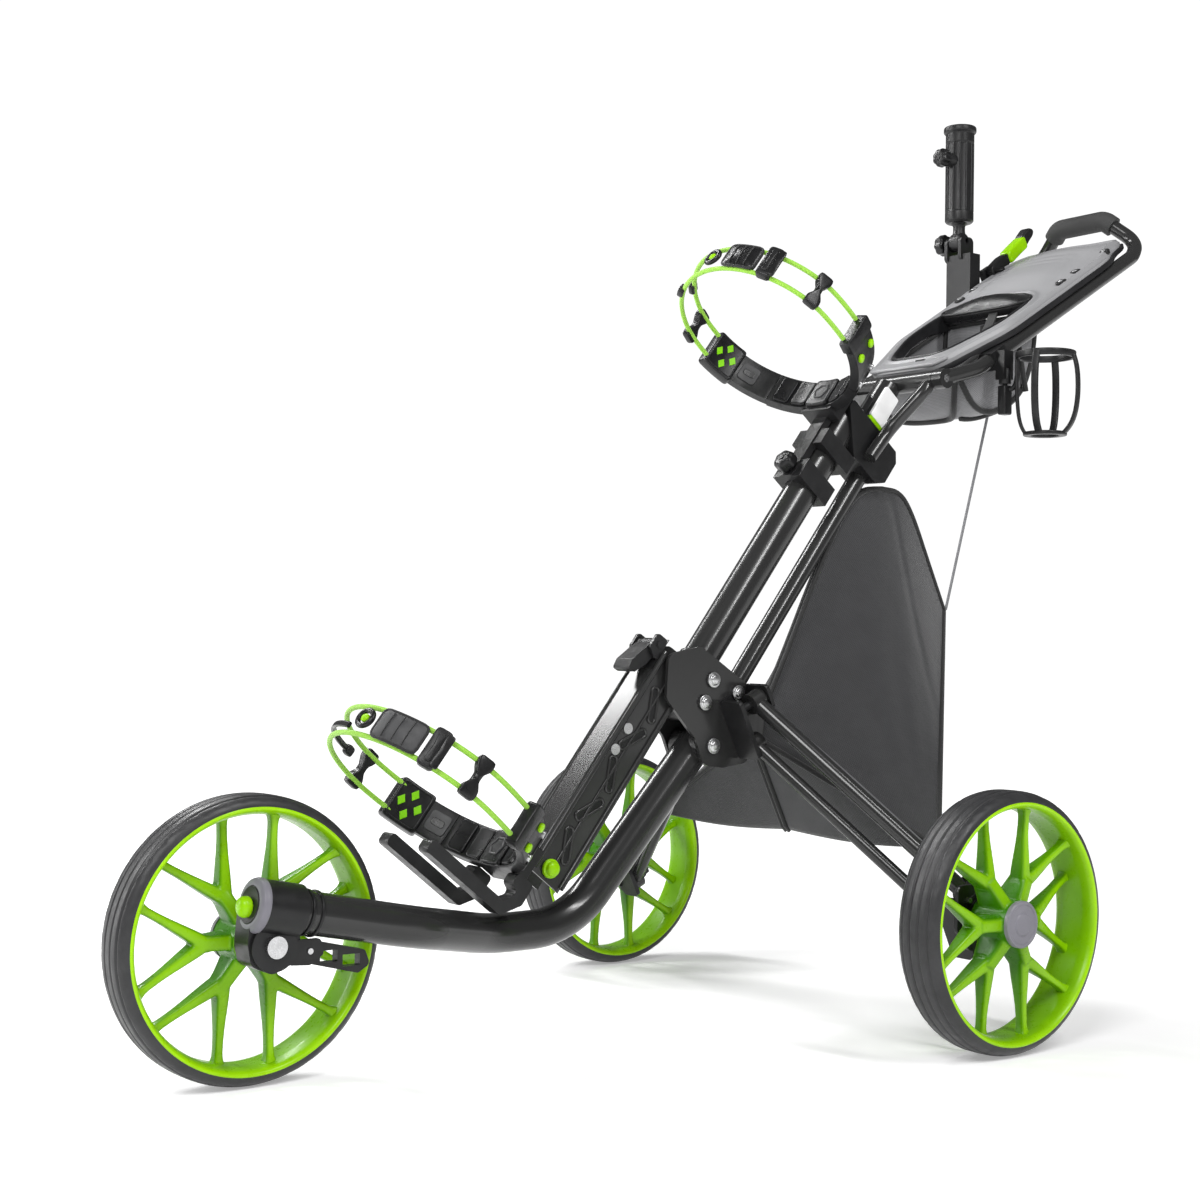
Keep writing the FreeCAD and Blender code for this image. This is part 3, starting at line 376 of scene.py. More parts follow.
def dress(obj: bpy.types.Object, finish: "Finish", body: str | None, slot: str | None = None,
          replaces: Sequence[str] = (), sharp: float = SHARP_ANGLE) -> bpy.types.Object:
    """Smooths an object, gives it its material and body, and logs it.

    Args:
        obj: A mesh or curve object.
        finish: Its material.
        body: The frame body it moves with, or None to leave that to the caller.
        slot: The record's material slot, where it isn't the finish's own; not used.
        replaces: CAD nodes that it stands for.
        sharp: Edges that bend by more than this stay sharp.

    Returns:
        The same object.
    """
    mesh = obj.data
    slot = slot or finish.slot
    mesh.materials.clear()
    mesh.materials.append(finish.material())
    if obj.type == "MESH":
        mesh.polygons.foreach_set("use_smooth", np.ones(len(mesh.polygons), bool))
        mesh.set_sharp_from_angle(angle=sharp)
        LOG.info("%s: %d faces", obj.name, len(mesh.polygons))
    if body:
        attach(obj, body)
    if replaces:
        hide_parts(*replaces)
    return obj


def shells(name: str, finish: "Finish", body: str, grids: Sequence[Array],
           wrap_rows: bool = False, **more: object) -> bpy.types.Object:
    """Builds one piece from grids that all close in the same way, as Skin.build() does."""
    skin = Skin()
    for grid in grids:
        skin.add(grid, wrap_rows)
    return skin.build(name, finish, body, **more)


def vectors(items: bpy.types.bpy_prop_collection, name: str) -> Array:
    """One vector property of a mesh's points as an (n, 3) array."""
    values = np.empty(len(items) * 3)
    items.foreach_get(name, values)
    return values.reshape(-1, 3)


def apply_modifiers(obj: bpy.types.Object) -> bpy.types.Object:
    """Bakes an object's modifiers into its mesh."""
    graph = bpy.context.evaluated_depsgraph_get()
    mesh = bpy.data.meshes.new_from_object(obj.evaluated_get(graph))
    obj.modifiers.clear()
    obj.data = mesh
    return obj


# ---------------------------------------------------------------- finishes

class Nodes:
    """Short ways to write one material's node tree."""

    def __init__(self, name: str) -> None:
        """Makes the material with its Principled shader."""
        self.made = bpy.data.materials.new(name)
        self.made.use_nodes = True
        self.tree = self.made.node_tree
        self.shader = self.tree.nodes["Principled BSDF"]
        self.coords = self.tree.nodes.new("ShaderNodeTexCoord").outputs["Object"]

    def feed(self, target: bpy.types.NodeSocket, value: object) -> None:
        """Links a socket to an input, or sets a number or colour on it."""
        if isinstance(value, bpy.types.NodeSocket):
            self.tree.links.new(value, target)
        else:
            target.default_value = value

    def node(self, kind: str, **inputs: object) -> bpy.types.Node:
        """Adds a node; keys are input names with _ for a space, and values numbers or sockets."""
        node = self.tree.nodes.new("ShaderNode" + kind)
        for key, value in inputs.items():
            self.feed(node.inputs[key.replace("_", " ")], value)
        return node

    def math(self, operation: str, a: object, b: object = 0.0) -> bpy.types.NodeSocket:
        """One Math node's result."""
        node = self.tree.nodes.new("ShaderNodeMath")
        node.operation = operation
        for target, value in zip(node.inputs, (a, b)):
            self.feed(target, value)
        return node.outputs[0]

    def noise(self, scale: float, detail: float = 3.0, rough: float = 0.55) -> bpy.types.NodeSocket:
        """Noise between 0 and 1 on Object coordinates; scale is in waves per metre."""
        node = self.node("TexNoise", Vector=self.coords, Scale=scale, Detail=detail,
                         Roughness=rough)
        return node.outputs["Fac"]

    def spread(self, value: bpy.types.NodeSocket, low: float, high: float) -> bpy.types.NodeSocket:
        """Maps 0.3..0.7, where noise lives, to low..high."""
        node = self.node("MapRange", Value=value, From_Min=0.3, From_Max=0.7, To_Min=low,
                         To_Max=high)
        return node.outputs["Result"]

    def mix(self, share: bpy.types.NodeSocket, first: Sequence[float],
            second: Sequence[float]) -> bpy.types.NodeSocket:
        """Colour between two colours."""
        node = self.tree.nodes.new("ShaderNodeMix")
        node.data_type = "RGBA"
        self.tree.links.new(share, node.inputs[0])
        node.inputs[6].default_value = (*first, 1.0)
        node.inputs[7].default_value = (*second, 1.0)
        return node.outputs[2]

    def bump(self, height: bpy.types.NodeSocket, distance: float, strength: float,
             under: bpy.types.NodeSocket | None = None) -> bpy.types.NodeSocket:
        """Bump normal of a height, on top of another normal where one is given."""
        node = self.node("Bump", Height=height, Distance=distance, Strength=strength)
        if under is not None:
            self.tree.links.new(under, node.inputs["Normal"])
        return node.outputs["Normal"]

    def shade(self, **inputs: object) -> "Nodes":
        """Sets or links inputs of the shader, named like those of node()."""
        for key, value in inputs.items():
            self.feed(self.shader.inputs[key.replace("_", " ")], value)
        return self


@dataclass(frozen=True)
class Finish:
    """A finish with a name and its usual slot; subclasses say how its nodes are made."""

    name: str
    slot: str

    def nodes(self) -> Nodes:
        """Builds the node tree."""
        raise NotImplementedError

    def material(self) -> bpy.types.Material:
        """The finish's material, made once."""
        return bpy.data.materials.get(self.name) or self.nodes().made


@dataclass(frozen=True)
class Coat(Finish):
    """Paint over metal: thin orange peel under a clear coat, with faint handling marks."""

    colour: tuple[float, float, float]
    rough: float = 0.22
    coat: float = 0.5

    def nodes(self) -> Nodes:
        """Broad noise drives colour and roughness; a fine one gives the orange peel."""
        made = Nodes(self.name)
        wear = made.noise(38.0, 5.0)
        bright = tuple(min(1.0, c * 1.5 + 0.004) for c in self.colour)
        return made.shade(
            Base_Color=made.mix(made.spread(wear, 0.0, 1.0), self.colour, bright),
            Roughness=made.spread(wear, self.rough * 0.8, self.rough * 1.35),
            Normal=made.bump(made.noise(420.0, 2.0), 0.0004, 0.12),
            Coat_Weight=self.coat, Coat_Roughness=0.12, Specular_IOR_Level=0.3)


@dataclass(frozen=True)
class Moulded(Finish):
    """Moulded plastic: fine spark-eroded grain, slight colour drift and scuffs."""

    colour: tuple[float, float, float]
    rough: float = 0.42
    grain: float = 0.25

    def nodes(self) -> Nodes:
        """Voronoi grain of half a millimetre over broad noise."""
        made = Nodes(self.name)
        light = tuple(min(1.0, c * 1.25 + 0.003) for c in self.colour)
        cells = made.node("TexVoronoi", Vector=made.coords, Scale=1900.0)
        return made.shade(
            Base_Color=made.mix(made.spread(made.noise(22.0, 4.0), 0.0, 1.0), self.colour, light),
            Roughness=made.spread(made.noise(90.0, 4.0), self.rough * 0.82, self.rough * 1.25),
            Normal=made.bump(cells.outputs["Distance"], 0.0002, self.grain),
            Specular_IOR_Level=0.32)


@dataclass(frozen=True)
class Lime(Finish):
    """Bright lime moulding with satin gloss; where asked, a mesh attribute paints shade and
    highlight into its colour.
    """

    colour: tuple[float, float, float] = (0.36, 0.72, 0.0)
    rough: float = 0.30
    deep: tuple[float, float, float] = (0.030, 0.16, 0.0)
    painted_shade: bool = False

    def nodes(self) -> Nodes:
        """Flow-mark noise varies colour and gloss; a mesh attribute may paint shade into its
        hollows and side walls.
        """
        made = Nodes(self.name)
        flow = made.spread(made.noise(30.0, 3.0), 0.82, 1.0)
        if self.painted_shade:
            # painted shade: the mesh attribute pulls the colour towards deep green where the rim
            # would be in shade
            shade = made.node("Attribute")
            shade.attribute_name = "shade"
            flow = made.math("MULTIPLY", flow, shade.outputs["Fac"])
        return made.shade(
            Base_Color=made.mix(flow, self.deep, self.colour),
            Roughness=made.spread(made.noise(160.0, 4.0), self.rough * 0.8, self.rough * 1.25),
            Normal=made.bump(made.noise(700.0, 2.0), 0.0002, 0.1),
            Coat_Weight=0.05, Coat_Roughness=0.2, Specular_IOR_Level=0.22)


@dataclass(frozen=True)
class Rubber(Finish):
    """Foamed tyre or grip rubber: closed-cell pores, dust in the hollows."""

    colour: tuple[float, float, float]
    dust: tuple[float, float, float]
    rough: float = 0.55
    pores: float = 900.0

    def nodes(self) -> Nodes:
        """Pores are a Voronoi bump; dust follows broad noise."""
        made = Nodes(self.name)
        patches = made.spread(made.noise(26.0, 6.0, 0.65), 0.0, 0.75)
        cells = made.node("TexVoronoi", Vector=made.coords, Scale=self.pores)
        under = made.bump(cells.outputs["Distance"], 0.0003, 0.3)
        return made.shade(
            Base_Color=made.mix(patches, self.colour, self.dust),
            Roughness=made.spread(made.noise(60.0, 4.0), self.rough * 0.8, self.rough * 1.2),
            Normal=made.bump(made.noise(140.0, 3.0), 0.0006, 0.15, under))


@dataclass(frozen=True)
class Metal(Finish):
    """Bare or plated metal with fine turning marks."""

    colour: tuple[float, float, float] = (0.62, 0.62, 0.63)
    rough: float = 0.28

    def nodes(self) -> Nodes:
        """Stretched noise makes the marks."""
        made = Nodes(self.name)
        turned = made.node("Mapping", Vector=made.coords, Scale=(40.0, 400.0, 400.0))
        marks = made.node("TexNoise", Vector=turned.outputs["Vector"], Scale=2.0, Detail=3.0)
        dull = tuple(c * 0.8 for c in self.colour)
        return made.shade(
            Base_Color=made.mix(made.spread(made.noise(70.0), 0.0, 1.0), self.colour, dull),
            Roughness=made.spread(marks.outputs["Fac"], self.rough * 0.7, self.rough * 1.5),
            Normal=made.bump(marks.outputs["Fac"], 0.0001, 0.2), Metallic=1.0)


@dataclass(frozen=True)
class Weave(Finish):
    """Cloth whose threads, a pitch apart, follow the piece's own UV map, in metres."""

    thread: tuple[float, float, float]
    hole: tuple[float, float, float]
    pitch: float = 0.0026
    depth: float = 0.0004

    def nodes(self) -> Nodes:
        """Thread height is max(|sin(u)|, |sin(v)|) of the two directions, raised to sharpen it."""
        made = Nodes(self.name)
        uv = made.tree.nodes.new("ShaderNodeUVMap").outputs["UV"]
        parts = made.node("SeparateXYZ", Vector=uv)
        waves = []
        for axis in ("X", "Y"):
            angle = made.math("MULTIPLY", parts.outputs[axis], math.pi / self.pitch)
            waves.append(made.math("ABSOLUTE", made.math("SINE", angle)))
        height = made.math("POWER", made.math("MAXIMUM", *waves), 3.0)
        tone = made.math("MULTIPLY", height, made.spread(made.noise(35.0, 4.0), 0.7, 1.0))
        wrinkles = made.bump(made.noise(28.0, 4.0), 0.004, 0.35)
        return made.shade(Base_Color=made.mix(tone, self.hole, self.thread),
                          Normal=made.bump(height, self.depth, 0.6, wrinkles),
                          Roughness=0.78, Sheen_Weight=0.25, Sheen_Roughness=0.5)


@dataclass(frozen=True)
class Braid(Finish):
    """Braided cord or webbing: two crossed sets of fine threads on Object coordinates."""

    colour: tuple[float, float, float]
    fleck: tuple[float, float, float]
    per_metre: float = 420.0

    def nodes(self) -> Nodes:
        """Two diagonal wave textures are multiplied for height and flecks."""
        made = Nodes(self.name)
        waves = []
        for turn in ((0.6, 0.9, 0.2), (-0.7, 0.5, 1.1)):
            turned = made.node("Mapping", Vector=made.coords, Rotation=turn)
            wave = made.node("TexWave", Vector=turned.outputs["Vector"], Scale=self.per_metre)
            waves.append(wave.outputs["Fac"])
        height = made.math("MULTIPLY", *waves)
        return made.shade(Base_Color=made.mix(height, self.fleck, self.colour),
                          Normal=made.bump(height, 0.0003, 0.5),
                          Roughness=0.7, Sheen_Weight=0.3, Sheen_Roughness=0.4)


TUBE_BLACK = Coat("tube_black", "tube_black", (0.005, 0.005, 0.0055))
CAST_BLACK = Moulded("cast_black", "casting_black", (0.009, 0.009, 0.0095), 0.34)
CLIP_BLACK = Moulded("clip_black", "casting_black", (0.005, 0.005, 0.0055), 0.30, 0.15)
CONSOLE_GREY = Moulded("console_grey", "console_grey", (0.036, 0.036, 0.038), 0.38, 0.2)
# dark grey used only for painted shade inside the console's opening and under its rim
CONSOLE_PAINTED_SHADE = Moulded("console_painted_shade", "console_grey", (0.011, 0.011, 0.012), 0.34, 0.3)
CAP_GREY = Moulded("cap_grey", "hub_cap", (0.17, 0.165, 0.19), 0.35, 0.2)
PAD_GREY = Rubber("pad_grey", "grip_foam", (0.034, 0.034, 0.036), (0.060, 0.060, 0.062))
LIME = Lime("lime_moulding", "lime_plastic", (0.30, 0.64, 0.0))
# rim lime whose colour holds painted shade and painted highlight from the wheel's attribute
RIM_LIME_PAINTED_SHADE = Lime("rim_lime_painted_shade", "rim", painted_shade=True)
LIME_DEEP = Lime("lime_button", "lime_plastic", (0.22, 0.62, 0.004), 0.38)
TYRE = Rubber("tyre_foam", "tyre", (0.013, 0.013, 0.014), (0.036, 0.036, 0.038), 0.45)
GRIP = Rubber("grip_foam", "grip_foam", (0.006, 0.006, 0.0065), (0.016, 0.016, 0.017), 0.5, 1400.0)
STEEL = Metal("turned_steel", "steel")
NET_CLOTH = Weave("net_cloth", "mesh", (0.034, 0.034, 0.037), (0.008, 0.008, 0.009))
POUCH_CLOTH = Weave("pouch_cloth", "pouch_mesh", (0.26, 0.26, 0.27), (0.10, 0.10, 0.105), 0.0022)
PIPING = Braid("black_piping", "mesh", (0.018, 0.018, 0.019), (0.006, 0.006, 0.006), 300.0)
LIME_CORD = Braid("lime_elastic", "lime_cord", (0.42, 0.78, 0.10), (0.24, 0.52, 0.03))
GREY_CORD = Braid("grey_elastic", "cable_grey", (0.30, 0.30, 0.31), (0.16, 0.16, 0.17))
CABLE_SHEATH = Moulded("cable_sheath", "cable_grey", (0.10, 0.10, 0.105), 0.45, 0.1)
PLATE_PALE = Moulded("plate_pale", "console_grey", (0.80, 0.80, 0.80), 0.35, 0.1)


# ------------------------------------------------------------------ wheels

@dataclass(frozen=True)
class Wheel:
    """One wheel: foam tyre with a ribbed tread, deep lime rim with six V spokes, and caps."""

    name: str
    body: str
    x: float
    y: float
    half_width: float
    cap_side: int
    z: float = 146.0
    seat_radius: float = 132.0
    foam: float = 14.0
    grooves: tuple[float, ...] = (-17.0, -6.0, 6.0, 17.0)
    lip_radius: float = 134.2
    slots: int = 6
    slot_offset: float = 24.0
    layer: float = 8.0

    @property
    def centre(self) -> Array:
        """Middle of the wheel in the row frame's millimetres."""
        return np.array([self.x, self.y + SHIFT_Y, self.z])

    def around(self, x: Sequence[float], radius: Array, count: int) -> Array:
        """Turns a profile about the axle: y = r cos(turn), z = r sin(turn).

        Args:
            x: (n,) distances from the wheel's middle.
            radius: (n,) or (n, count) radii.
            count: Points in each turn.

        Returns:
            (n, count, 3) points.
        """
        turn = np.arange(count) * (2 * math.pi / count)
        radius = np.asarray(radius, float).reshape(len(x), -1)
        return cart(self.x + np.asarray(x, float)[:, None], self.y + radius * np.cos(turn),
                    self.z + radius * np.sin(turn))

    def tyre(self) -> None:
        """Tyre: r = rim + 14 (1 - |x/w|^3.4)^(1/2.4), less four grooves and shoulder notches."""
        w, count = self.half_width, 240
        x = w * np.sin(np.linspace(-math.pi / 2, math.pi / 2, 97))
        height = (1 - np.abs(x / w) ** 3.4).clip(0) ** (1 / 2.4)
        grooves = sum(np.exp(-((x - at) / 1.1) ** 2) for at in self.grooves)
        wave = np.cos(40 * np.arange(count) * (2 * math.pi / count) + 0.35 * x[:, None])
        shoulder = np.exp(-((np.abs(x) - 21.5) / 3.2) ** 4)[:, None]
        notch = np.clip((wave - 0.72) / 0.28, 0, 1) * shoulder
        radius = (self.seat_radius + self.foam * height - 1.5 * grooves)[:, None] - 0.9 * notch
        inner = self.around([w - 1.5, 1.5 - w], [130.6, 130.6], count)
        skin = Skin().add(np.concatenate([self.around(x, radius, count), inner]), wrap_rows=True)
        skin.build(f"{self.name}_tread", TYRE, self.body, replaces=[f"{self.name}_tyre"],
                   sharp=math.radians(60))

    def barrel(self) -> Array:
        """Rim barrel: a rounded closed profile with a bead at each lip."""
        w, lip = self.half_width + 0.6, self.lip_radius
        half = [(w - 4.4, 131.0), (w - 3.2, lip), (w, lip), (w, lip - 3.6), (w - 5, 127.4),
                (w - 14, 125.2)]
        other = [(-x, radius) for x, radius in half]
        profile = rounded(other[3::-1] + half + other[:3:-1], 2.2, 4)
        return self.around(profile[:, 0], profile[:, 1], 180)

    def axis(self, degrees: float) -> tuple[Array, Array]:
        """Directions along a spoke at an angle and square to it, in the wheel's plane."""
        turn = math.radians(degrees)
        return (np.array([0.0, math.cos(turn), math.sin(turn)]),
                np.array([0.0, -math.sin(turn), math.cos(turn)]))

    def bar(self, path: Array, half_wide: Array, half_deep: Array, corner: float) -> Array:
        """Carries a rounded bar along a path about the wheel's middle.

        Args:
            path: (n, 3) millimetres from the middle.
            half_wide, half_deep: (n, 1) half sizes in the wheel's plane and across it.
            corner: Corner rounding as a share of the half size.

        Returns:
            (n, m, 3) points in metres.
        """
        section = bar_section(1.0, 1.0, corner) * np.hstack([half_wide, half_deep])[:, None]
        return (sweep(path, section, ACROSS) + self.centre) * MM

    def leg(self, slot: float, hand: int, layer: float) -> Array:
        """One spoke leg, parallel to a slot's axis and slot_offset beside it.

        Its section is a rounded bar whose width falls from 15 to 8.6 and depth from 22 to 12 by a
        cosine ramp, widening again where it meets the barrel; it leans from its layer's depth.

        Args:
            slot: Angle of the slot's axis in degrees.
            hand: Side of the slot, 1 or -1.
            layer: Depth of its outer end from the wheel's middle.

        Returns:
            (22, m, 3) points.
        """
        along, beside = self.axis(slot)
        run = np.linspace(36.0, 126.5, 22)[:, None]
        share = (run - 36.0) / 90.5
        lean = layer * (0.45 + 0.75 * share)
        path = run * along + self.slot_offset * hand * beside + lean * ACROSS
        fall = 0.5 + 0.5 * np.cos(math.pi * np.clip(share * 1.25, 0, 1))
        flare = np.clip((share - 0.86) / 0.14, 0, 1) ** 2
        return self.bar(path, 4.3 + 3.2 * fall + 3.4 * flare, 6.0 + 5.0 * fall + 2.0 * flare, 0.55)

    def root(self, middle: float, layer: float) -> Array:
        """The web that joins two legs to the hub, along the V's own axis.

        Args:
            middle: Angle of the V's axis in degrees.
            layer: Depth of its outer end from the wheel's middle.

        Returns:
            (12, m, 3) points.
        """
        run = np.linspace(16.0, 54.0, 12)[:, None]
        share = (run - 16.0) / 38.0
        path = run * self.axis(middle)[0] + layer * 0.55 * share * ACROSS
        return self.bar(path, 9.5 - 3.0 * share + 1.5 * share ** 2,
                        self.half_width - 6.0 - 9.0 * share, 0.5)

    def rim(self) -> None:
        """Rim: spokes and hub melted together by a voxel remesh, then smoothed, and a barrel, both
        with painted shade in a colour attribute.
        """
        skin = Skin()
        for k in range(self.slots):
            middle, layer = 360.0 / self.slots * k, self.layer if k % 2 else -self.layer
            for hand in (-1, 1):
                skin.add(self.leg(middle + 180.0 / self.slots * hand, -hand, layer))
            skin.add(self.root(middle, layer))
        hub = self.half_width - 2.0
        skin.add(self.around([-hub, -hub, hub, hub], [17.0, 25.0, 25.0, 17.0], 64), wrap_rows=True)
        barrel = shells(f"{self.name}_barrel", RIM_LIME_PAINTED_SHADE, self.body, [self.barrel()], True)
        # painted shade on the barrel: dark at mid-width inside, painted highlight at the lips
        across = np.abs(vectors(barrel.data.vertices, "co")[:, 0] / MM - self.x)
        self.shade(barrel, 0.35 + 0.65 * ((across / (self.half_width + 0.6)) ** 5).clip(0, 1))
        obj = skin.build(f"{self.name}_spokes", RIM_LIME_PAINTED_SHADE, None)
        remesh = obj.modifiers.new("melt", "REMESH")
        remesh.mode = "VOXEL"
        remesh.voxel_size = 0.0013
        smooth = obj.modifiers.new("soften", "SMOOTH")
        smooth.factor, smooth.iterations = 0.5, 5
        apply_modifiers(obj)
        dress(obj, RIM_LIME_PAINTED_SHADE, self.body, None, [f"{self.name}_rim"], ALL_SMOOTH)
        # painted shade on the spokes: dark on walls facing sideways and towards the hub, painted
        # light on faces looking along the axle
        points = vectors(obj.data.vertices, "co") / MM - self.centre
        painted_light_facing = np.abs(vectors(obj.data.vertex_normals, "vector")[:, 0]) ** 2
        outer = ease((np.hypot(points[:, 1], points[:, 2]) - 30.0) / 92.0)
        self.shade(obj, 0.02 + 0.73 * (0.25 * outer + 0.75 * painted_light_facing).clip(0, 1))

    def shade(self, obj: bpy.types.Object, value: Array) -> None:
        """Writes the painted-shade attribute: painted shade on side walls and mid-width, painted
        highlight on faces and lips.
        """
        layer = obj.data.attributes.new("shade", "FLOAT", "POINT")
        layer.data.foreach_set("value", value.astype(np.float32))

    def caps(self) -> None:
        """Dished grey cap on the outer face and a black ring on the bracket side."""
        side, end = self.cap_side, self.half_width
        cap = np.array([(-4, 1), (-4, 26), (0.6, 26), (1.6, 25), (1.8, 22.5), (0.9, 21.5),
                        (0.9, 13), (2.2, 11.5), (2.6, 1)])
        shells(f"{self.name}_cap", CAP_GREY, self.body,
               [self.around((end + cap[:, 0]) * side, cap[:, 1], 72)],
               replaces=[f"{self.name}_hub_cap"])
        back = np.array([(-6, 14), (-6, 24), (-0.6, 24), (-0.2, 22.5), (-0.2, 14)])
        shells(f"{self.name}_hub_ring", CAST_BLACK, self.body,
               [self.around(-(end + back[:, 0]) * side, back[:, 1], 64)], True, slot="hub_cap")

    def make(self) -> None:
        """Builds the whole wheel."""
        self.tyre()
        self.rim()
        self.caps()


# ------------------------------------------------------------ small builders

def divided(outline: Array, step: float) -> Array:
    """Closed outline with extra points, so that no run is longer than step."""
    points = []
    for here, after in zip(outline, np.roll(outline, -1, 0)):
        count = max(1, math.ceil(float(np.linalg.norm(after - here)) / step))
        points.append(here + (after - here) * (np.arange(count) / count)[:, None])
    return np.vstack(points)


def panel_outline(half_u: float, half_v: float, corner: float, step: float = 6.0) -> Array:
    """Rounded rectangle with points close enough together to follow a curved surface."""
    return divided(bar_section(half_u, half_v, corner), step)


def lathe(profile: Sequence[tuple[float, float]], centre: Sequence[float], axis: Sequence[float],
          count: int = 48, lobes: int = 0, depth: float = 0.0) -> Array:
    """Turns a profile of (distance along axis, radius) points about an axis.

    Args:
        profile: Points from one end to the other.
        centre: Cart millimetres of the axis's start.
        axis: Unit direction of the axis.
        count: Points in each turn.
        lobes: Number of lobes, or 0 for a plain round.
        depth: Their depth: the radius is multiplied by 1 + depth * cos(lobes * turn).

    Returns:
        (rows, count, 3) points.
    """
    along = np.asarray(axis, float)
    side = np.cross(along, (0.31, 0.52, 0.8))
    side /= np.linalg.norm(side)
    lift = np.cross(along, side)
    turn = np.arange(count) * (2 * math.pi / count)
    wave = 1 + depth * np.cos(lobes * turn) if lobes else np.ones(count)
    rows = np.asarray(profile, float)
    ring = (np.cos(turn)[:, None] * side + np.sin(turn)[:, None] * lift) * wave[:, None]
    points = np.asarray(centre) + rows[:, 0, None, None] * along + rows[:, 1, None, None] * ring
    return cart(points[..., 0], points[..., 1], points[..., 2])


def softened(profile: Sequence[tuple[float, float]], radius: float) -> Array:
    """Open profile with its inner corners rounded, as rounded() does for a closed one.

    Args:
        profile: (n, 2) points.
        radius: Distance from a corner at which rounding starts.

    Returns:
        The denser profile.
    """
    c = np.asarray(profile, float)
    rows = [c[:1]]
    for last, here, after in zip(c[:-2], c[1:-1], c[2:]):
        back, ahead = last - here, after - here
        a = here + back * min(radius / (np.linalg.norm(back) + 1e-9), 0.45)
        b = here + ahead * min(radius / (np.linalg.norm(ahead) + 1e-9), 0.45)
        t = np.linspace(0, 1, 4)[:, None]
        rows.append((1 - t) ** 2 * a + 2 * t * (1 - t) * here + t ** 2 * b)
    rows.append(c[-1:])
    return np.vstack(rows)


def lay_cord(name: str, points: Sequence[Array], radius: float, finish: Finish, body: str,
             node: str, length: float) -> bpy.types.Object:
    """Args:
        name: Piece name.
        points: Its control points in metres.
        radius: Its radius in millimetres.
        finish: Its material.
        body: The body that it rides on.
        node: The CAD node that it replaces.
        length: Its real length in metres; not used.

    Returns:
        The curve object.
    """
    data = bpy.data.curves.new(name, "CURVE")
    data.dimensions = "3D"
    data.bevel_depth = radius * MM
    data.bevel_resolution = 5
    data.resolution_u = 10
    data.use_fill_caps = True
    spline = data.splines.new("NURBS")
    spline.points.add(len(points) - 1)
    for control, place in zip(spline.points, points):
        control.co = (*place, 1.0)
    spline.order_u = 3
    spline.use_endpoint_u = True
    obj = bpy.data.objects.new(name, data)
    bpy.context.scene.collection.objects.link(obj)
    dress(obj, finish, body, None, [node])
    tuple(points[0])
    return obj


def cloth(name: str, grid: Array, finish: Finish, body: str | None,
          replaces: Sequence[str] = ()) -> bpy.types.Object:
    """The UV of a point is its distance along its row and its column from the panel's first corner.
    The flat size is those distances' largest values, or for a fan the panel's two longest spreads.

    Args:
        name: Piece name.
        grid: (rows, cols, 3) points in metres.
        finish: Its material.
        body: The body that it rides on, or None to leave that to the caller.
        replaces: CAD nodes that it stands for.

    Returns:
        The panel.
    """
    skin = Skin().add(grid, wrap_cols=False, cap=False)
    obj = skin.build(name, finish, body, replaces=replaces, sharp=ALL_SMOOTH)
    down = np.linalg.norm(np.diff(grid, axis=0, prepend=grid[:1]), axis=2).cumsum(0)
    across = np.linalg.norm(np.diff(grid, axis=1, prepend=grid[:, :1]), axis=2).cumsum(1)
    plan = np.stack([across, down], -1).reshape(-1, 2)
    layer = obj.data.uv_layers.new(name="plan")
    order = np.empty(len(obj.data.loops), int)
    obj.data.loops.foreach_get("vertex_index", order)
    layer.data.foreach_set("uv", plan[order].ravel())
    area = float(sum(face.area for face in obj.data.polygons))
    width, length = float(across.max()), float(down.max())
    if area < 0.4 * width * length:
        spread = (grid - grid.mean((0, 1))).reshape(-1, 3)
        turned = spread @ np.linalg.svd(spread, full_matrices=False)[2].T
        width, length = np.sort(np.ptp(turned, axis=0)[:2]).tolist()
    LOG.info("%s: cut %.3f x %.3f m, %.4f m2", name, width, length, area)
    return obj


# ------------------------------------------------------------------- straps

SLIDER = rounded([(-9, 24), (9, 24), (9.5, 13), (4.2, 6), (4.2, -6), (9.5, -13), (9, -24),
                  (-9, -24), (-9.5, -13), (-4.2, -6), (-4.2, 6), (-9.5, 13)], 3.5, 3)
DIAMOND = np.array([(0, 7.6), (5.4, 0), (0, -7.6), (-5.4, 0)])


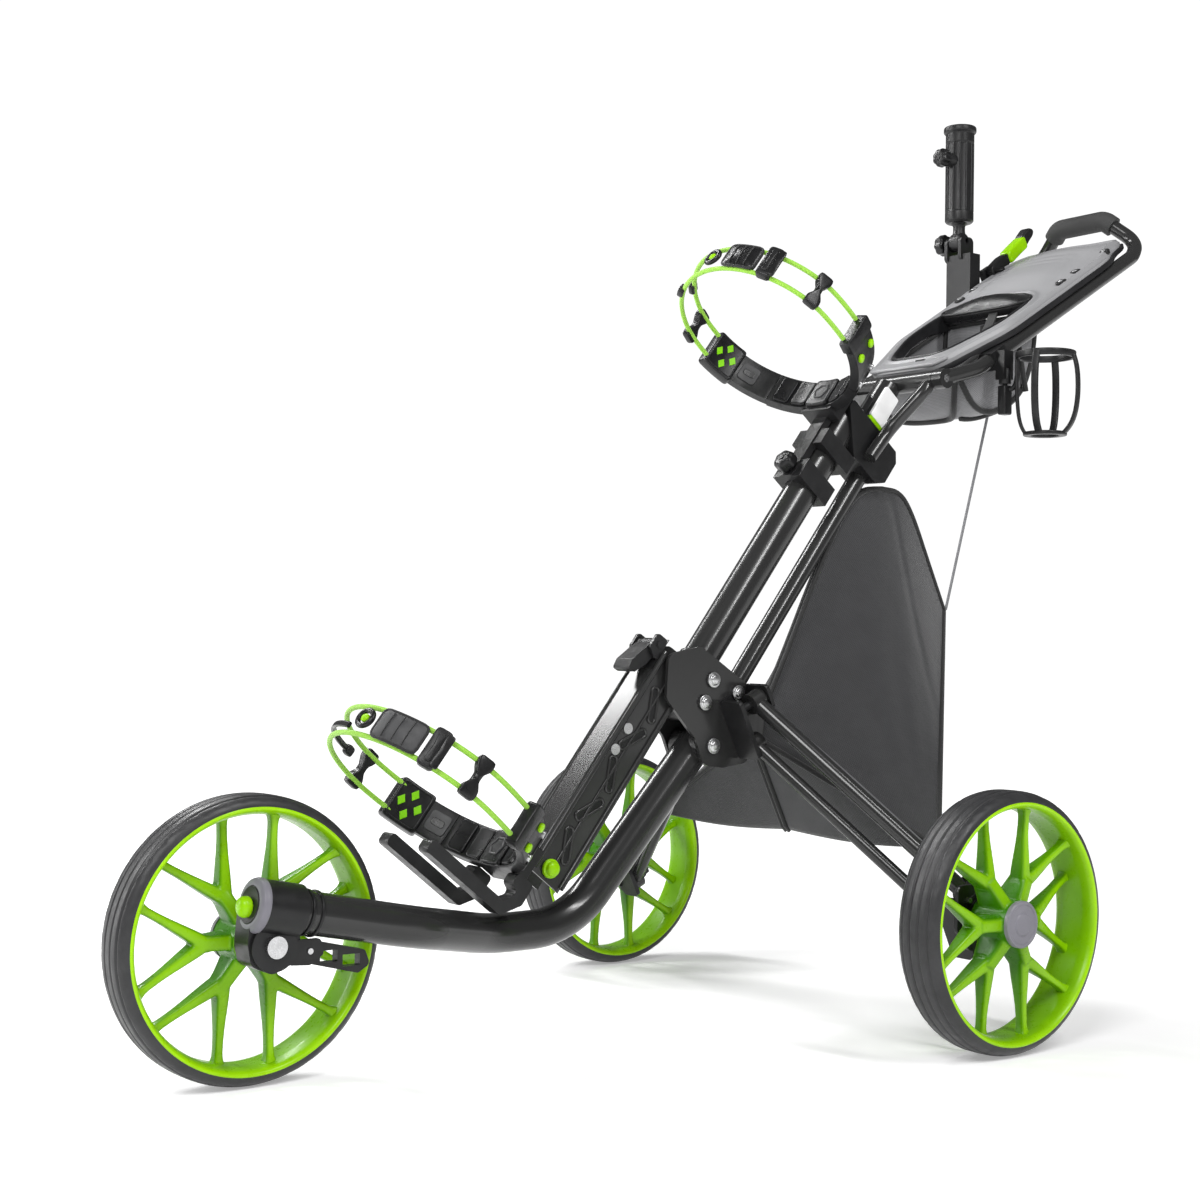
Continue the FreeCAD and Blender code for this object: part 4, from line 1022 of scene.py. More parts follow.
@dataclass(frozen=True)
class Strap:
    """Two elastic cords round the bag with their sliders, grip, buckle, ring and end pads.

    Angles are degrees round the bag; cord_ends are those of the cords, pad those of the patterned
    pad, grip those of the padded grip.  lane is each cord's distance from the bracket's middle.
    """

    prefix: str
    body: str
    circle: BagCircle
    cord_ends: tuple[float, float]
    cord_length: float
    sliders: tuple[float, ...]
    beads: tuple[float, ...]
    pad: tuple[float, float]
    grip: tuple[float, float]
    grip_finish: Finish
    buckle: float
    ring: float
    hook: tuple[float, float] | None
    far_arm: tuple[float, float]
    lane: float = 17.0
    cord_radius: float = 3.0

    def piece(self, name: str, finish: Finish, *grids: Array, **more: object) -> None:
        """Builds one fitting under this strap's name; more holds shells()'s other arguments."""
        shells(f"{self.prefix}_{name}", finish, self.body, grids, **more)

    def tile(self, size: tuple[float, float, float], low: float, high: float, edge: float,
             degrees: float, along: float = 0.0, crown: float = 0.0) -> Array:
        """Rounded slab wrapped on the bag; size is its half length, half width and corner."""
        place = self.circle.patch(degrees, along)
        return slab(panel_outline(*size), low, high, edge, place, crown)

    def cords(self) -> None:
        """Both cords: control points every tenth of the way round, 3 mm off the bag."""
        start, end = self.cord_ends
        for word, offset in (("near", -self.lane), ("far", self.lane)):
            points = [self.circle.place(start + (end - start) * i / 10, offset,
                                        BAG_RADIUS + self.cord_radius) for i in range(11)]
            lay_cord(f"{self.prefix}_cord_{word}", points, self.cord_radius, LIME_CORD, self.body,
                     self.prefix + "_strap_cords", self.cord_length)

    def small_fittings(self) -> None:
        """Dog-bone sliders over both cords, beads over one cord each, and the cords' lime plugs."""
        patch, (block, plugs) = self.circle.patch, self.far_arm
        sliders = [slab(SLIDER, -0.4, 9.4, 2.0, patch(at), 1.2) for at in self.sliders]
        beads = [self.tile((8.0, 6.5, 4.0), -0.6, 7.2, 2.4, at, self.lane * (-1) ** (number + 1),
                           1.0) for number, at in enumerate(self.beads)]
        self.piece("sliders", CLIP_BLACK, *sliders, *beads,
                   self.tile((9.0, 26.0, 4.0), -1.2, 14.2, 2.0, block, 0.0, 0.6),
                   replaces=[self.prefix + "_strap_fittings"])
        self.piece("plugs", LIME, *(
            slab(circle(5.2, 24), 11.0, 15.6, 1.5, patch(plugs, offset), 0.8)
            for offset in (-13.0, 13.0)))

    def patterned_pad(self) -> None:
        """Pad on the near arm with four diamonds in a cross on each face."""
        low, high = self.pad
        half, middle = math.radians(high - low) / 2 * BAG_RADIUS, (low + high) / 2
        place = self.circle.patch(middle)
        self.piece("pad", CLIP_BLACK, self.tile((half, 26.0, 5.0), -2.6, 14.4, 2.2, middle))
        self.piece("diamonds", LIME_DEEP, *(
            slab(divided(DIAMOND + spot, 4.0), face, face + 1.4, 0.4, place)
            for spot in ((-11.5, 0), (11.5, 0), (0, -13), (0, 13)) for face in (-3.4, 14.0)))
        rim = hoop(place, panel_outline(half - 3, 22.5, 5.0), -2.8, 0.9,
                   self.circle.outward(middle), 8)
        self.piece("pad_rim", CAST_BLACK, rim, wrap_rows=True)

    def padded_grip(self) -> None:
        """Crowned grip with piping round it and three sewn channels across it."""
        low, high = self.grip
        half, middle = math.radians(high - low) / 2 * BAG_RADIUS, (low + high) / 2
        place, out = self.circle.patch(middle), self.circle.outward(middle)
        outline = panel_outline(half, 17.0, 7.0, 3.0)
        self.piece("grip", self.grip_finish, slab(outline, -0.2, 8.6, 3.0, place, 2.6),
                   slot="grip_foam")
        trim = Skin().add(hoop(place, outline, 7.0, 1.7, out), wrap_rows=True)
        v = np.linspace(-15, 15, 9)
        for share in (-0.45, 0.0, 0.45):
            channel = place(np.full(9, half * share), v, 9.4 + 2.0 * (1 - (v / 17) ** 2))
            trim.add(bead(channel, 0.7, out, 8))
        trim.build(f"{self.prefix}_grip_trim", PIPING, self.body, slot="grip_foam")

    def closing(self) -> None:
        """Buckle beside the grip, pull ring with its lime stud, and the hook strap."""
        self.piece("buckle", CAST_BLACK,
                   self.tile((9.0, 23.0, 5.0), -0.4, 11.0, 2.4, self.buckle, 0.0, 1.0),
                   self.tile((3.0, 17.0, 2.5), 10.6, 13.2, 1.0, self.buckle, 0.0, 0.4))
        self.piece("buckle_bar", CLIP_BLACK,
                   self.tile((4.2, 20.0, 3.0), 9.0, 12.6, 1.2, self.buckle - 4.0, 0.0, 0.4))
        place = self.circle.patch(self.ring)
        loop = hoop(place, circle(9.5, 40), 6.5, 3.1, self.circle.outward(self.ring), 12)
        self.piece("ring", CLIP_BLACK, loop, wrap_rows=True)
        self.piece("stud", LIME, slab(circle(5.0, 28), 1.0, 9.0, 2.0, place, 1.4))
        if self.hook:
            path = self.circle.place(np.linspace(*self.hook, 26), np.linspace(-10, 3, 26),
                                     BAG_RADIUS + 4.5)
            strip = sweep(path, bar_section(3.4, 2.0, 1.5) * MM,
                          self.circle.outward(sum(self.hook) / 2))
            end = self.tile((6.0, 6.0, 4.0), 0.5, 9.0, 2.0, self.hook[1], 3)
            self.piece("hook", CLIP_BLACK, strip, end)

    def arm_detail(self) -> None:
        """Ribbed liner on the saddle, slotted plates on the near arm and bolts on both arms."""
        ribs = [self.tile((11.0, 19.5, 4.0), -3.6, 0.6, 1.6, at) for at in (-119, -106, -74, -61)]
        self.piece("saddle_liner", CLIP_BLACK, *ribs,
                   self.tile((19.0, 21.5, 5.0), -6.0, 0.6, 2.2, SADDLE), slot="grip_foam")
        place, hexagon = self.circle.patch(SADDLE), circle(1.0, 6)
        ring = hoop(place, divided(11.5 * hexagon, 3.0), -6.4, 1.5, self.circle.outward(SADDLE), 8)
        self.piece("saddle_hex", PAD_GREY, ring, wrap_rows=True)
        self.piece("saddle_well", CAST_BLACK,
                   slab(divided(10.0 * hexagon, 3.0), -6.6, -4.0, 0.5, place))
        near = self.pad[1] + 8.0
        self.piece("arm_plates", PAD_GREY, *(self.tile((13.0, 13.0, 5.0), *faces, 0.8, near)
                                             for faces in ((-1.8, 0.6), (11.4, 13.4))),
                   slot="casting_black")
        self.piece("arm_slots", CLIP_BLACK, *(self.tile((8.5, 4.6, 4.0), *faces, 0.4, near)
                                              for faces in ((-2.3, -1.2), (12.8, 13.9))))
        self.piece("arm_bolts", STEEL, *(
            slab(circle(4.4, 24), 10.0, 15.0, 0.8, self.circle.patch(at, offset))
            for at in (-48, -132) for offset in (15, -15)))

    def make(self) -> None:
        """Builds the strap's fittings; its cords are laid apart."""
        self.small_fittings()
        self.patterned_pad()
        self.padded_grip()
        self.closing()
        self.arm_detail()


STRAPS = (
    Strap("lower", "frame", LOWER_CIRCLE, (-26.0, 206.0), 0.484, (14.0, 171.0), (), (194.0, 216.0),
          (45.0, 71.0), PAD_GREY, 38.0, 80.0, (90.0, 156.0), (-27.0, -37.0)),
    Strap("upper", "upper_bracket", UPPER_CIRCLE, (-13.0, 193.0), 0.432, (21.0, 167.0),
          (126.0, 142.0), (184.0, 206.0), (59.0, 80.0), CLIP_BLACK, 52.0, 91.0, None,
          (-14.0, -26.0)),
)


# ---------------------------------------------------------------- soft goods

@dataclass(frozen=True)
class Net:
    """One half of the storage net: a side panel and a floor panel with piping."""

    side: Side

    front: tuple[float, float, float] = (3.0, 690.0, 336.0)
    top: tuple[float, float, float] = (3.0, 916.0, 657.0)
    back: tuple[float, float, float] = (4.0, 1039.0, 499.0)
    low: tuple[float, float, float] = (3.0, 752.0, 215.0)
    corner: tuple[float, float, float] = (256.0, 747.0, 219.0)

    def point(self, place: Array) -> Array:
        """Cart millimetres of the right half turned to metres on this side."""
        return cart(place[..., 0] * self.side.value, place[..., 1], place[..., 2])

    def side_panel(self) -> Array:
        """Patch between an arched upper edge, the rear edge and the lower edge, sagging inwards.

        The patch is the sum of the two ruled surfaces between opposite edges less the bilinear
        one through its corners; sag = 13 sin(pi s) sin(pi t) plus tension folds of 2.2 mm that
        fan from the corner.
        """
        s, t = np.meshgrid(np.linspace(0, 1, 72), np.linspace(0, 1, 52), indexing="ij")
        f, p, b, k = (np.array(v) for v in (self.front, self.top, self.back, self.corner))
        s3, t3 = s[..., None], t[..., None]
        x = f[0]
        rise = smooth_line([f, (x, 745, 436), (x, 803, 552), (x, 852, 634), (x, 886, 655), p], 72)
        fall = smooth_line([p, (x, 950, 655), (x, 974, 628), (x, 1006, 565), b], 52)
        across = (1 - t3) * rise[:, None] + t3 * ((1 - s3) * k + s3 * b)
        down = (1 - s3) * ((1 - t3) * f + t3 * k) + s3 * fall[None]
        base = across + down - ((1 - s3) * ((1 - t3) * f + t3 * k) + s3 * ((1 - t3) * p + t3 * b))
        normal = np.cross(p - f, k - f)
        normal /= np.linalg.norm(normal)
        inward = normal if normal[0] < 0 else -normal
        hold = np.sin(math.pi * s) * np.sin(math.pi * t)
        turn = np.arctan2(s, 1.02 - t)
        folds = 2.2 * np.sin(17 * turn) * hold ** 0.7 * np.exp(-2.0 * s)
        crease = 5.0 * np.exp(-((s + 0.55 * t - 1.02) / 0.035) ** 2) * hold ** 0.5
        return self.point(base + (13.0 * hold + folds + crease)[..., None] * inward)

    def floor_panel(self) -> Array:
        """Fan from the run front-low-back to the corner, bellied downwards by 10 mm."""
        f, d, b, k = (np.array(v) for v in (self.front, self.low, self.back, self.corner))
        share = np.linspace(0, 1, 56)[:, None]
        knee = 0.27
        run = np.where(share < knee, f + (d - f) * share / knee,
                       d + (b - d) * (share - knee) / (1 - knee))
        t = np.linspace(0, 0.985, 36)
        base = run[:, None] * (1 - t)[None, :, None] + k * t[None, :, None]
        hold = np.sin(math.pi * share) * np.sin(math.pi * t)[None]
        return self.point(base + hold[..., None] * np.array([0.0, 4.0, -9.0]))

    def make(self) -> None:
        """Builds both panels and the piping along every edge."""
        word = self.side.word
        upper, lower = self.side_panel(), self.floor_panel()
        panel = cloth(f"net_{word}_side", upper, NET_CLOTH, None,
                      [f"net_{word}"])
        base = cloth(f"net_{word}_floor", lower, NET_CLOTH, None)
        edges = Skin()
        for line in (upper[0], upper[-1], upper[:, 0], upper[:, -1], lower[:, 0]):
            edges.add(bead(line, 3.6, (0.6, -0.25, 0.1), 10))
        trim = edges.build(f"net_{word}_piping", PIPING, None)
        start, end = (self.point(np.array((x, self.corner[1], 380.0)))
                      for x in (8.0, self.corner[0]))
        for piece in (panel, base, trim):
            tuple(start)
            tuple(end)
            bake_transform(piece)


@dataclass(frozen=True)
class Pouch:
    """Open-topped mesh pouch under the console: two end panels, a belly and black piping."""

    half: float = 79.0
    profile: tuple[tuple[float, float], ...] = ((15, -15), (25, -92), (112, -104), (171, -65),
                                                (203, -15))

    def wall(self, x: Array, share: Array, lift: float = 0.0) -> Array:
        """Points of the strip down the front, along the bottom and up the back.

        swell = 5 sin(pi share)^0.6 (1 - (x / half)^4) plus a 1.2 mm ripple, square to the profile.

        Args:
            x: Distances across the cart.
            share: Shares of the way from the front edge to the back edge.
            lift: Extra distance outwards.

        Returns:
            Points in metres.
        """
        line = smooth_line(self.profile, 60)
        run = np.gradient(line, axis=0)
        normal = np.stack([run[:, 1], -run[:, 0]], -1)
        normal /= np.linalg.norm(normal, axis=1, keepdims=True)
        steps = np.linspace(0, 1, 60)
        a, o = (np.interp(share, steps, line[:, i]) for i in (0, 1))
        na, no = (np.interp(share, steps, normal[:, i]) for i in (0, 1))
        hold = np.sin(math.pi * share).clip(0)
        swell = 5.0 * hold ** 0.6 * (1 - (x / self.half) ** 4)
        swell = swell + 1.2 * np.sin(9 * share) * np.cos(x / 23.0) * hold + lift
        return CONSOLE.place(x, a + swell * na, o + swell * no)

    def belly(self) -> Array:
        """The strip between both ends."""
        share, x = np.meshgrid(np.linspace(0, 1, 60), np.linspace(-self.half, self.half, 40),
                               indexing="ij")
        return self.wall(x, share)

    def end(self, side: int) -> Array:
        """End panel: rows from the mouth's middle out to the profile, bulging by 7 mm."""
        line = smooth_line(self.profile, 60)
        middle = np.array([108.0, -16.0])
        share = np.linspace(0.02, 1, 24)[:, None]
        points = middle + (line - middle)[None] * share[..., None]
        bulge = 7.0 * (1 - share ** 2.5) * np.clip((-16.0 - points[..., 1]) / 30.0, 0, 1)
        return CONSOLE.place(side * (self.half + bulge), points[..., 0], points[..., 1])

    def make(self) -> None:
        """Builds the three panels, their piping and the retaining band inside."""
        body = "handle"
        belly = self.belly()
        cloth("pouch_belly", belly, POUCH_CLOTH, body,
              ["console_pouch"])
        trim = Skin()
        for word, side in (("right", 1), ("left", -1)):
            cloth(f"pouch_end_{word}", self.end(side), POUCH_CLOTH, body)
            edge = belly[:, -1 if side > 0 else 0]
            trim.add(bead(edge, 4.2, ACROSS))
            mid = CONSOLE.place(np.full(20, 86.0 * side), np.linspace(124, 146, 20),
                                np.linspace(-98, -20, 20))
            trim.add(bead(mid, 3.6, ACROSS))
        for lobe in (((-76, 0.02), (-74, 0.17), (-58, 0.262), (0, 0.27), (30, 0.262), (52, 0.17),
                      (77, 0.02)), ((40, 0.27), (46, 0.34), (62, 0.40), (78, 0.42))):
            run = smooth_line(lobe, 60)
            trim.add(bead(self.wall(run[:, 0], run[:, 1], 1.5), 4.2, (0.1, -0.5, -0.86)))
        mouth = CONSOLE.place(*np.array([(-80, 15), (80, 15), (80, 202), (-80, 202)]).T, -17.0)
        for a, b in zip(mouth, np.roll(mouth, -1, 0)):
            trim.add(bead(a + (b - a) * np.linspace(0, 1, 6)[:, None], 3.4, (0.1, -0.52, 0.84)))
        trim.build("pouch_piping", PIPING, body, slot="pouch_mesh")
        band = smooth_line([CONSOLE.place(*point) for point in (
            (-6, 196, -20), (6, 150, -62), (14, 108, -92), (24, 60, -86), (30, 34, -60))], 40)
        shells("pouch_band", PIPING, body, [sweep(band, bar_section(6.0, 1.2, 1.0) * MM,
                                                  CONSOLE_OUT)], slot="pouch_mesh")


# ------------------------------------------------------------------- console

def by_angle(outline: Array, middle: Array, count: int) -> Array:
    """Points where rays at equal angles from middle cross a star-shaped outline.

    Args:
        outline: (n, 2) closed outline.
        middle: A point that sees all of it.
        count: Number of rays.

    Returns:
        (count, 2) points.
    """
    turn = np.arange(count) * (2 * math.pi / count)
    ray = np.stack([np.cos(turn), np.sin(turn)], -1)
    start = outline - middle
    edge = np.roll(start, -1, 0) - start
    cross = ray[:, None, 0] * edge[None, :, 1] - ray[:, None, 1] * edge[None, :, 0]
    cross = np.where(np.abs(cross) < 1e-9, 1e-9, cross)
    reach = (start[:, 0] * edge[:, 1] - start[:, 1] * edge[:, 0])[None] / cross
    share = (start[None, :, 0] * ray[:, None, 1] - start[None, :, 1] * ray[:, None, 0]) / cross
    hit = (share >= -1e-6) & (share <= 1 + 1e-6) & (reach > 0)
    return middle + ray * np.where(hit, reach, 0).max(1)[:, None]


def ease(value: Array) -> Array:
    """Smooth step 3t^2 - 2t^3 of a value cut to 0..1."""
    t = np.clip(value, 0, 1)
    return t * t * (3 - 2 * t)


@dataclass(frozen=True)
class Console:
    """Moulded console: domed upper panel, lipped opening, and a dark liner and under-tray of
    painted shade.
    """

    body: str = "handle"
    middle: tuple[float, float] = (0.0, 135.0)
    outer: tuple[tuple[float, float], ...] = ((58, 0), (102, 118), (102, 362), (86, 392), (81, 432),
                                              (62, 428), (50, 408))
    hole: tuple[tuple[float, float], ...] = ((46, 32), (82, 118), (82, 196), (56, 240))

    def rings(self, count: int = 220) -> tuple[Array, Array]:
        """The opening and the outer edge, sampled at the same angles."""
        edges = []
        for half, radius in ((self.hole, 26.0), (self.outer, 24.0)):
            whole = list(half) + [(-x, a) for x, a in reversed(half)]
            edges.append(by_angle(rounded(whole, radius, 7), np.array(self.middle), count))
        return edges[0], edges[1]

    def height(self, x: Array, a: Array, from_hole: Array, from_edge: Array) -> Array:
        """Top face: a 15 mm dome over the upper panel, beads at both edges, and shallow ribs.

        Args:
            x, a: Places across and along the console.
            from_hole, from_edge: Distances from the opening and from the outer edge.

        Returns:
            Heights above the console's plane.
        """
        def hump(value: Array, at: float, width: float, power: int = 2) -> Array:
            """Bump exp(-((value - at) / width)^power)."""
            return np.exp(-((value - at) / width) ** power)
        dome = 15.0 * (1 - (x / 104.0) ** 2).clip(0) * ease((a - 232) / 70) * ease((440 - a) / 70)
        beads = 4.2 * hump(from_hole, 5, 4.5) + 2.6 * hump(from_edge, 7, 4.0)
        roll = -5.0 * hump(from_edge, 0, 3.0)
        ribs = sum(hump(a, at, 2.4) for at in (330.0, 345.0, 360.0)) * hump(x, 0, 62.0, 6)
        waist = -3.0 * hump(np.abs(x), 66, 12.0) * ease((a - 255) / 30) * ease((375 - a) / 30)
        return dome + beads + roll - 1.3 * ribs + waist

    def shell(self) -> None:
        """Closed band of four strips: top face, outer wall, underside and inner wall."""
        inner, outer = self.rings()
        share = np.linspace(0, 1, 46)[:, None, None]
        top = inner[None] + (outer - inner)[None] * share
        gap = np.linalg.norm(outer - inner, axis=1)[None]
        s = share[..., 0]
        heights = self.height(top[..., 0], top[..., 1], s * gap, (1 - s) * gap)
        rows = [CONSOLE.place(top[..., 0], top[..., 1], heights)]
        for ring, widen, low in ((outer, 1.006, -3.0), (outer, 1.006, -8.0), (outer, 1.006, -12.0),
                                 (outer, 0.96, -15.0), (inner, 1.0, -15.0), (inner, 1.0, -2.0)):
            rows.append(CONSOLE.place(ring[None, :, 0] * widen, ring[None, :, 1], low))
        shells("console_moulding", CONSOLE_GREY, self.body, [np.concatenate(rows)], True,
               replaces=["console_shell"])

    def band(self, name: str, outline: Array, steps: Sequence[tuple[float, Array | float]]) -> None:
        """Closed band of painted shade; each step is a ring's scale about the middle and its
        height.
        """
        middle = np.array(self.middle)
        rows = [CONSOLE.place(*(middle + (outline - middle) * scale).T, height)
                for scale, height in steps]
        shells(name, CONSOLE_PAINTED_SHADE, self.body, [np.stack(rows)], wrap_rows=True)

    def liner(self) -> None:
        """Painted shade: a dark liner inside the opening, deep at its upper end, and a dark band
        under the rim.
        """
        inner, outer = self.rings()
        # painted shade: the liner stands for the shade on the opening's upper wall, the band for
        # the shade under the rim
        deep = -10.0 - 12.0 * ease((inner[:, 1] - 150) / 70)
        self.band("console_painted_shade_liner", inner, ((0.995, 3.2), (0.965, 4.6), (0.94, 3.0), (0.93, deep),
                                           (0.96, deep)))
        self.band("console_painted_shade_band", outer, ((1.012, -7.5), (1.018, -9.0), (1.016, -15.0),
                                          (0.99, -16.5), (0.97, -16.0), (0.98, -8.0)))

    def lip(self) -> None:
        """Lip across the low end, a hooded mouth, a ribbon and bosses near the rails."""
        low_end = rounded([(-57, 2), (57, 2), (70, 26), (-70, 26)], 9, 5)
        shells("console_lip", CONSOLE_GREY, self.body,
               [slab(divided(low_end, 6), -1.5, 1.6, 1.2, CONSOLE.place, 0.5)])
        spots = [CONSOLE.flat(90.0 * side.value, a) for side in Side for a in (262.0, 298.0, 372.0)]
        shells("console_bosses", CAST_BLACK, self.body,
               [slab(circle(8.0, 28), -2.0, 4.6, 1.4, spot, 0.4) for spot in spots],
               slot="console_grey")
        shells("console_screws", STEEL, self.body,
               [slab(circle(3.6, 20), 3.8, 5.8, 0.5, spot) for spot in spots])
        round_lens = circle(1.0, 72)
        lens = np.sign(round_lens) * np.abs(round_lens) ** (0.85, 1.0) * (79, 25)

        def hood(u: Array, v: Array, height: Array) -> Array:
            """Bends the hood's outline down towards both sides."""
            return CONSOLE.place(u, 214.0 + v - 0.0016 * u ** 2, height)
        shells("console_hood", CLIP_BLACK, self.body, [slab(lens, -8.0, 4.0, 3.0, hood, 12.0)],
               slot="console_grey")
        shells("console_hood_rim", CAST_BLACK, self.body,
               [hoop(hood, lens * 0.97, 4.2, 2.2, CONSOLE_OUT)], True, slot="console_grey")
        sag = 3.0 - 34.0 * np.sin(np.linspace(0.0, math.pi, 24)) ** 0.8
        ribbon = CONSOLE.place(22.0, np.linspace(20, 196, 24), sag)
        shells("console_ribbon", PIPING, self.body,
               [sweep(ribbon, bar_section(8.0, 1.2, 1.0) * MM, CONSOLE_OUT)], slot="console_grey")

    def brake_lever(self) -> None:
        """Lime paddle with a black tip pad, on the left rail."""
        place = CONSOLE.upright(0.0, 0.0)
        shaft = rounded([(354, 1), (369, 1), (402, 5), (402, 20), (382, 21), (354, 16)], 6, 5)
        tip = rounded([(440, 12), (466, 21), (472, 29), (462, 36), (440, 29)], 6, 5)
        shells("brake_arm", CAST_BLACK, "brake_lever",
               [slab(divided(shaft, 5), -105.5, -92.5, 2.0, place),
                slab(divided(tip, 4), -107.5, -90.5, 3.4, place)], replaces=["brake_lever"])
        pad = rounded([(397, 3.5), (446, 11), (446, 29), (420, 26), (397, 21.5)], 5, 5)
        shells("brake_paddle", LIME, "brake_lever",
               [slab(divided(pad, 4), -108.5, -89.5, 3.6, place)])

    def make(self) -> None:
        """Builds the console's pieces."""
        self.shell()
        self.liner()
        self.lip()
        self.brake_lever()


# ------------------------------------------------------------------- holders

KNOB_RADIUS = 15.0
KNOB = softened([(0, 3), (0, 12.5), (2, 15), (12, 15), (16, 12), (17, 6), (16.2, 0.5)], 1.6)


@dataclass(frozen=True)
class Holders:
    """Umbrella holder, its knobs, the cup holder and the height knob."""

    umbrella: tuple[float, float, float] = (-136.0, 1224.0, 1052.0)
    umbrella_top: float = 172.0
    cup: tuple[float, float] = (160.0, 1054.0)
    cup_ring_z: float = 827.0
    cup_floor_z: float = 726.0
    cup_pin: tuple[float, float, float] = (113.0, 1030.0, 0.0)

    def knob(self, name: str, node: str, centre: Sequence[float], axis: Sequence[float],
             size: float, lobes: int = 8) -> None:
        """Lobed knob with a screw boss and a stem.

        Args:
            name: Piece name.
            node: The CAD node that it replaces, which is also its body's name.
            centre: Cart millimetres of its back face's middle.
            axis: Unit direction out from that face.
            size: Its radius.
            lobes: Number of lobes.
        """
        boss = [(16.0, 0.5), (16.0, 5.0), (18.2, 4.4), (18.4, 0.5)]
        stem = [(-9.0, 0.5), (-9.0, 4.6), (1.0, 5.6), (1.0, 0.5)]
        shells(name, CLIP_BLACK, node,
               [lathe(KNOB * (1.0, size / KNOB_RADIUS), centre, axis, 96, lobes, 0.055),
                lathe(boss, centre, axis, 32), lathe(stem, centre, axis, 32)], replaces=[node])

    def umbrella_tube(self) -> None:
        """Tube with a flared rim, vertical flutes, two collars, a clamp boss and a knuckle."""
        x, y, z = self.umbrella
        low, top = 28.0, self.umbrella_top
        outer = softened([(low, 9), (low, 18), (low + 3, 21), (low + 16, 21), (low + 18, 19.6),
                          (top - 26, 19.6), (top - 24, 21), (top - 11, 21), (top - 8, 24),
                          (top - 2, 24), (top, 22.5), (top, 16.4), (top - 3, 15.2),
                          (low + 9, 15.2), (low + 8, 0.5)], 1.2)
        skin = Skin().add(lathe(outer, (x, y, z), (0, 0, 1), 96))
        for turn in np.arange(12) * (math.pi / 6) + 0.2:
            way = np.array([math.cos(turn), math.sin(turn)])
            flute = cart(x + way[0] * 19.4, y + way[1] * 19.4,
                         z + np.linspace(low + 17, top - 25, 8))
            skin.add(bead(flute, 1.7, (*way, 0.0), 10))
        boss = [(15.5, 0.5), (15.5, 11), (28, 10), (31, 9), (31, 0.5)]
        skin.add(lathe(boss, (x, y, z + 120), (0, -1, 0), 48))
        stalk = softened([(6, 0.5), (6, 10.5), (16, 8.8), (24, 8.8), (30, 14), (30, 0.5)], 2.0)
        skin.add(lathe(stalk, (x, y, z), (0, 0, 1), 48))
        knuckle = softened([(0, 4.2), (0, 12), (1.5, 13.4), (18.5, 13.4), (20, 12), (20, 4.2)], 1.0)
        skin.add(lathe(knuckle, (x - 10, y, z), (1, 0, 0), 64))
        skin.build("umbrella_cup", CAST_BLACK, "umbrella_holder", replaces=["umbrella_tube"])

    def cup_holder(self) -> None:
        """Ring, four bowed ribs, a floor ring, the swing post and its bridge."""
        x, y = self.cup
        skin = Skin()
        ring = rounded([(0, 33.2), (0, 38.4), (9, 38.8), (9, 33.0)], 1.8, 4)
        skin.add(lathe(ring + (self.cup_ring_z, 0.0), (x, y, 0.0), (0, 0, 1), 96), wrap_rows=True)
        floor = rounded([(0, 18), (0, 28), (5, 28), (5, 18)], 1.6, 4)
        skin.add(lathe(floor + (self.cup_floor_z, 0.0), (x, y, 0.0), (0, 0, 1), 96), wrap_rows=True)
        for degrees, bow in ((20, 1.0), (110, 1.0), (215, 0.0), (290, 1.0)):
            way = np.array([math.cos(math.radians(degrees)), math.sin(math.radians(degrees))])
            line = smooth_line([(36, 834), (37 + 5.5 * bow, 812), (36 + 7.5 * bow, 775),
                                (33 + 5 * bow, 745), (25, 728), (20, 728.5)], 30)
            path = cart(x + way[0] * line[:, 0], y + way[1] * line[:, 0], line[:, 1])
            section = bar_section(4.6, 2.4, 1.8) * MM
            skin.add(sweep(path, section, (way[0], way[1], 0.0)))
        post = rounded([(-6.5, -8), (6.5, -8), (6.5, 8), (-6.5, 8)], 3, 5)
        pin_x, pin_y, _ = self.cup_pin
        skin.add(slab(post, 755.5, 794.0, 2.4, lambda u, v, z: cart(pin_x + u, pin_y + v, z)))
        pin = [(772, 0.5), (772, 3.5), (815.4, 3.5), (815.4, 0.5)]
        skin.add(lathe(pin, self.cup_pin, (0, 0, 1), 32))
        link = [cart(*point) for point in ((116.0, 1032.0, 789.0), (123.0, 1035.0, 789.0),
                                           (127.4, 1037.6, 800.0), (127.4, 1037.6, 833.0))]
        skin.add(bead(smooth_line(link, 24), 3.4, (0.4, -0.9, 0.1), 14))
        skin.build("cup_basket", CAST_BLACK, "cup_holder", replaces=["cup_ring"])

    def make(self) -> None:
        """Builds all holders."""
        x, y, z = self.umbrella
        self.umbrella_tube()
        self.knob("umbrella_tilt_grip", "umbrella_tilt_knob", (x - 22, y, z), (-1, 0, 0), 15.0)
        self.knob("umbrella_clamp_grip", "umbrella_clamp_knob", (x, y - 31.8, z + 120),
                  (0, -1, 0), 13.0)
        self.cup_holder()
        start = MAST.drawing(0.0, 270.0, 37.0)
        out = start - MAST.drawing(0.0, 270.0, 36.0)
        self.knob("height_grip", "height_knob", start, out, 14.0, 6)


# -------------------------------------------------------------- frame detail

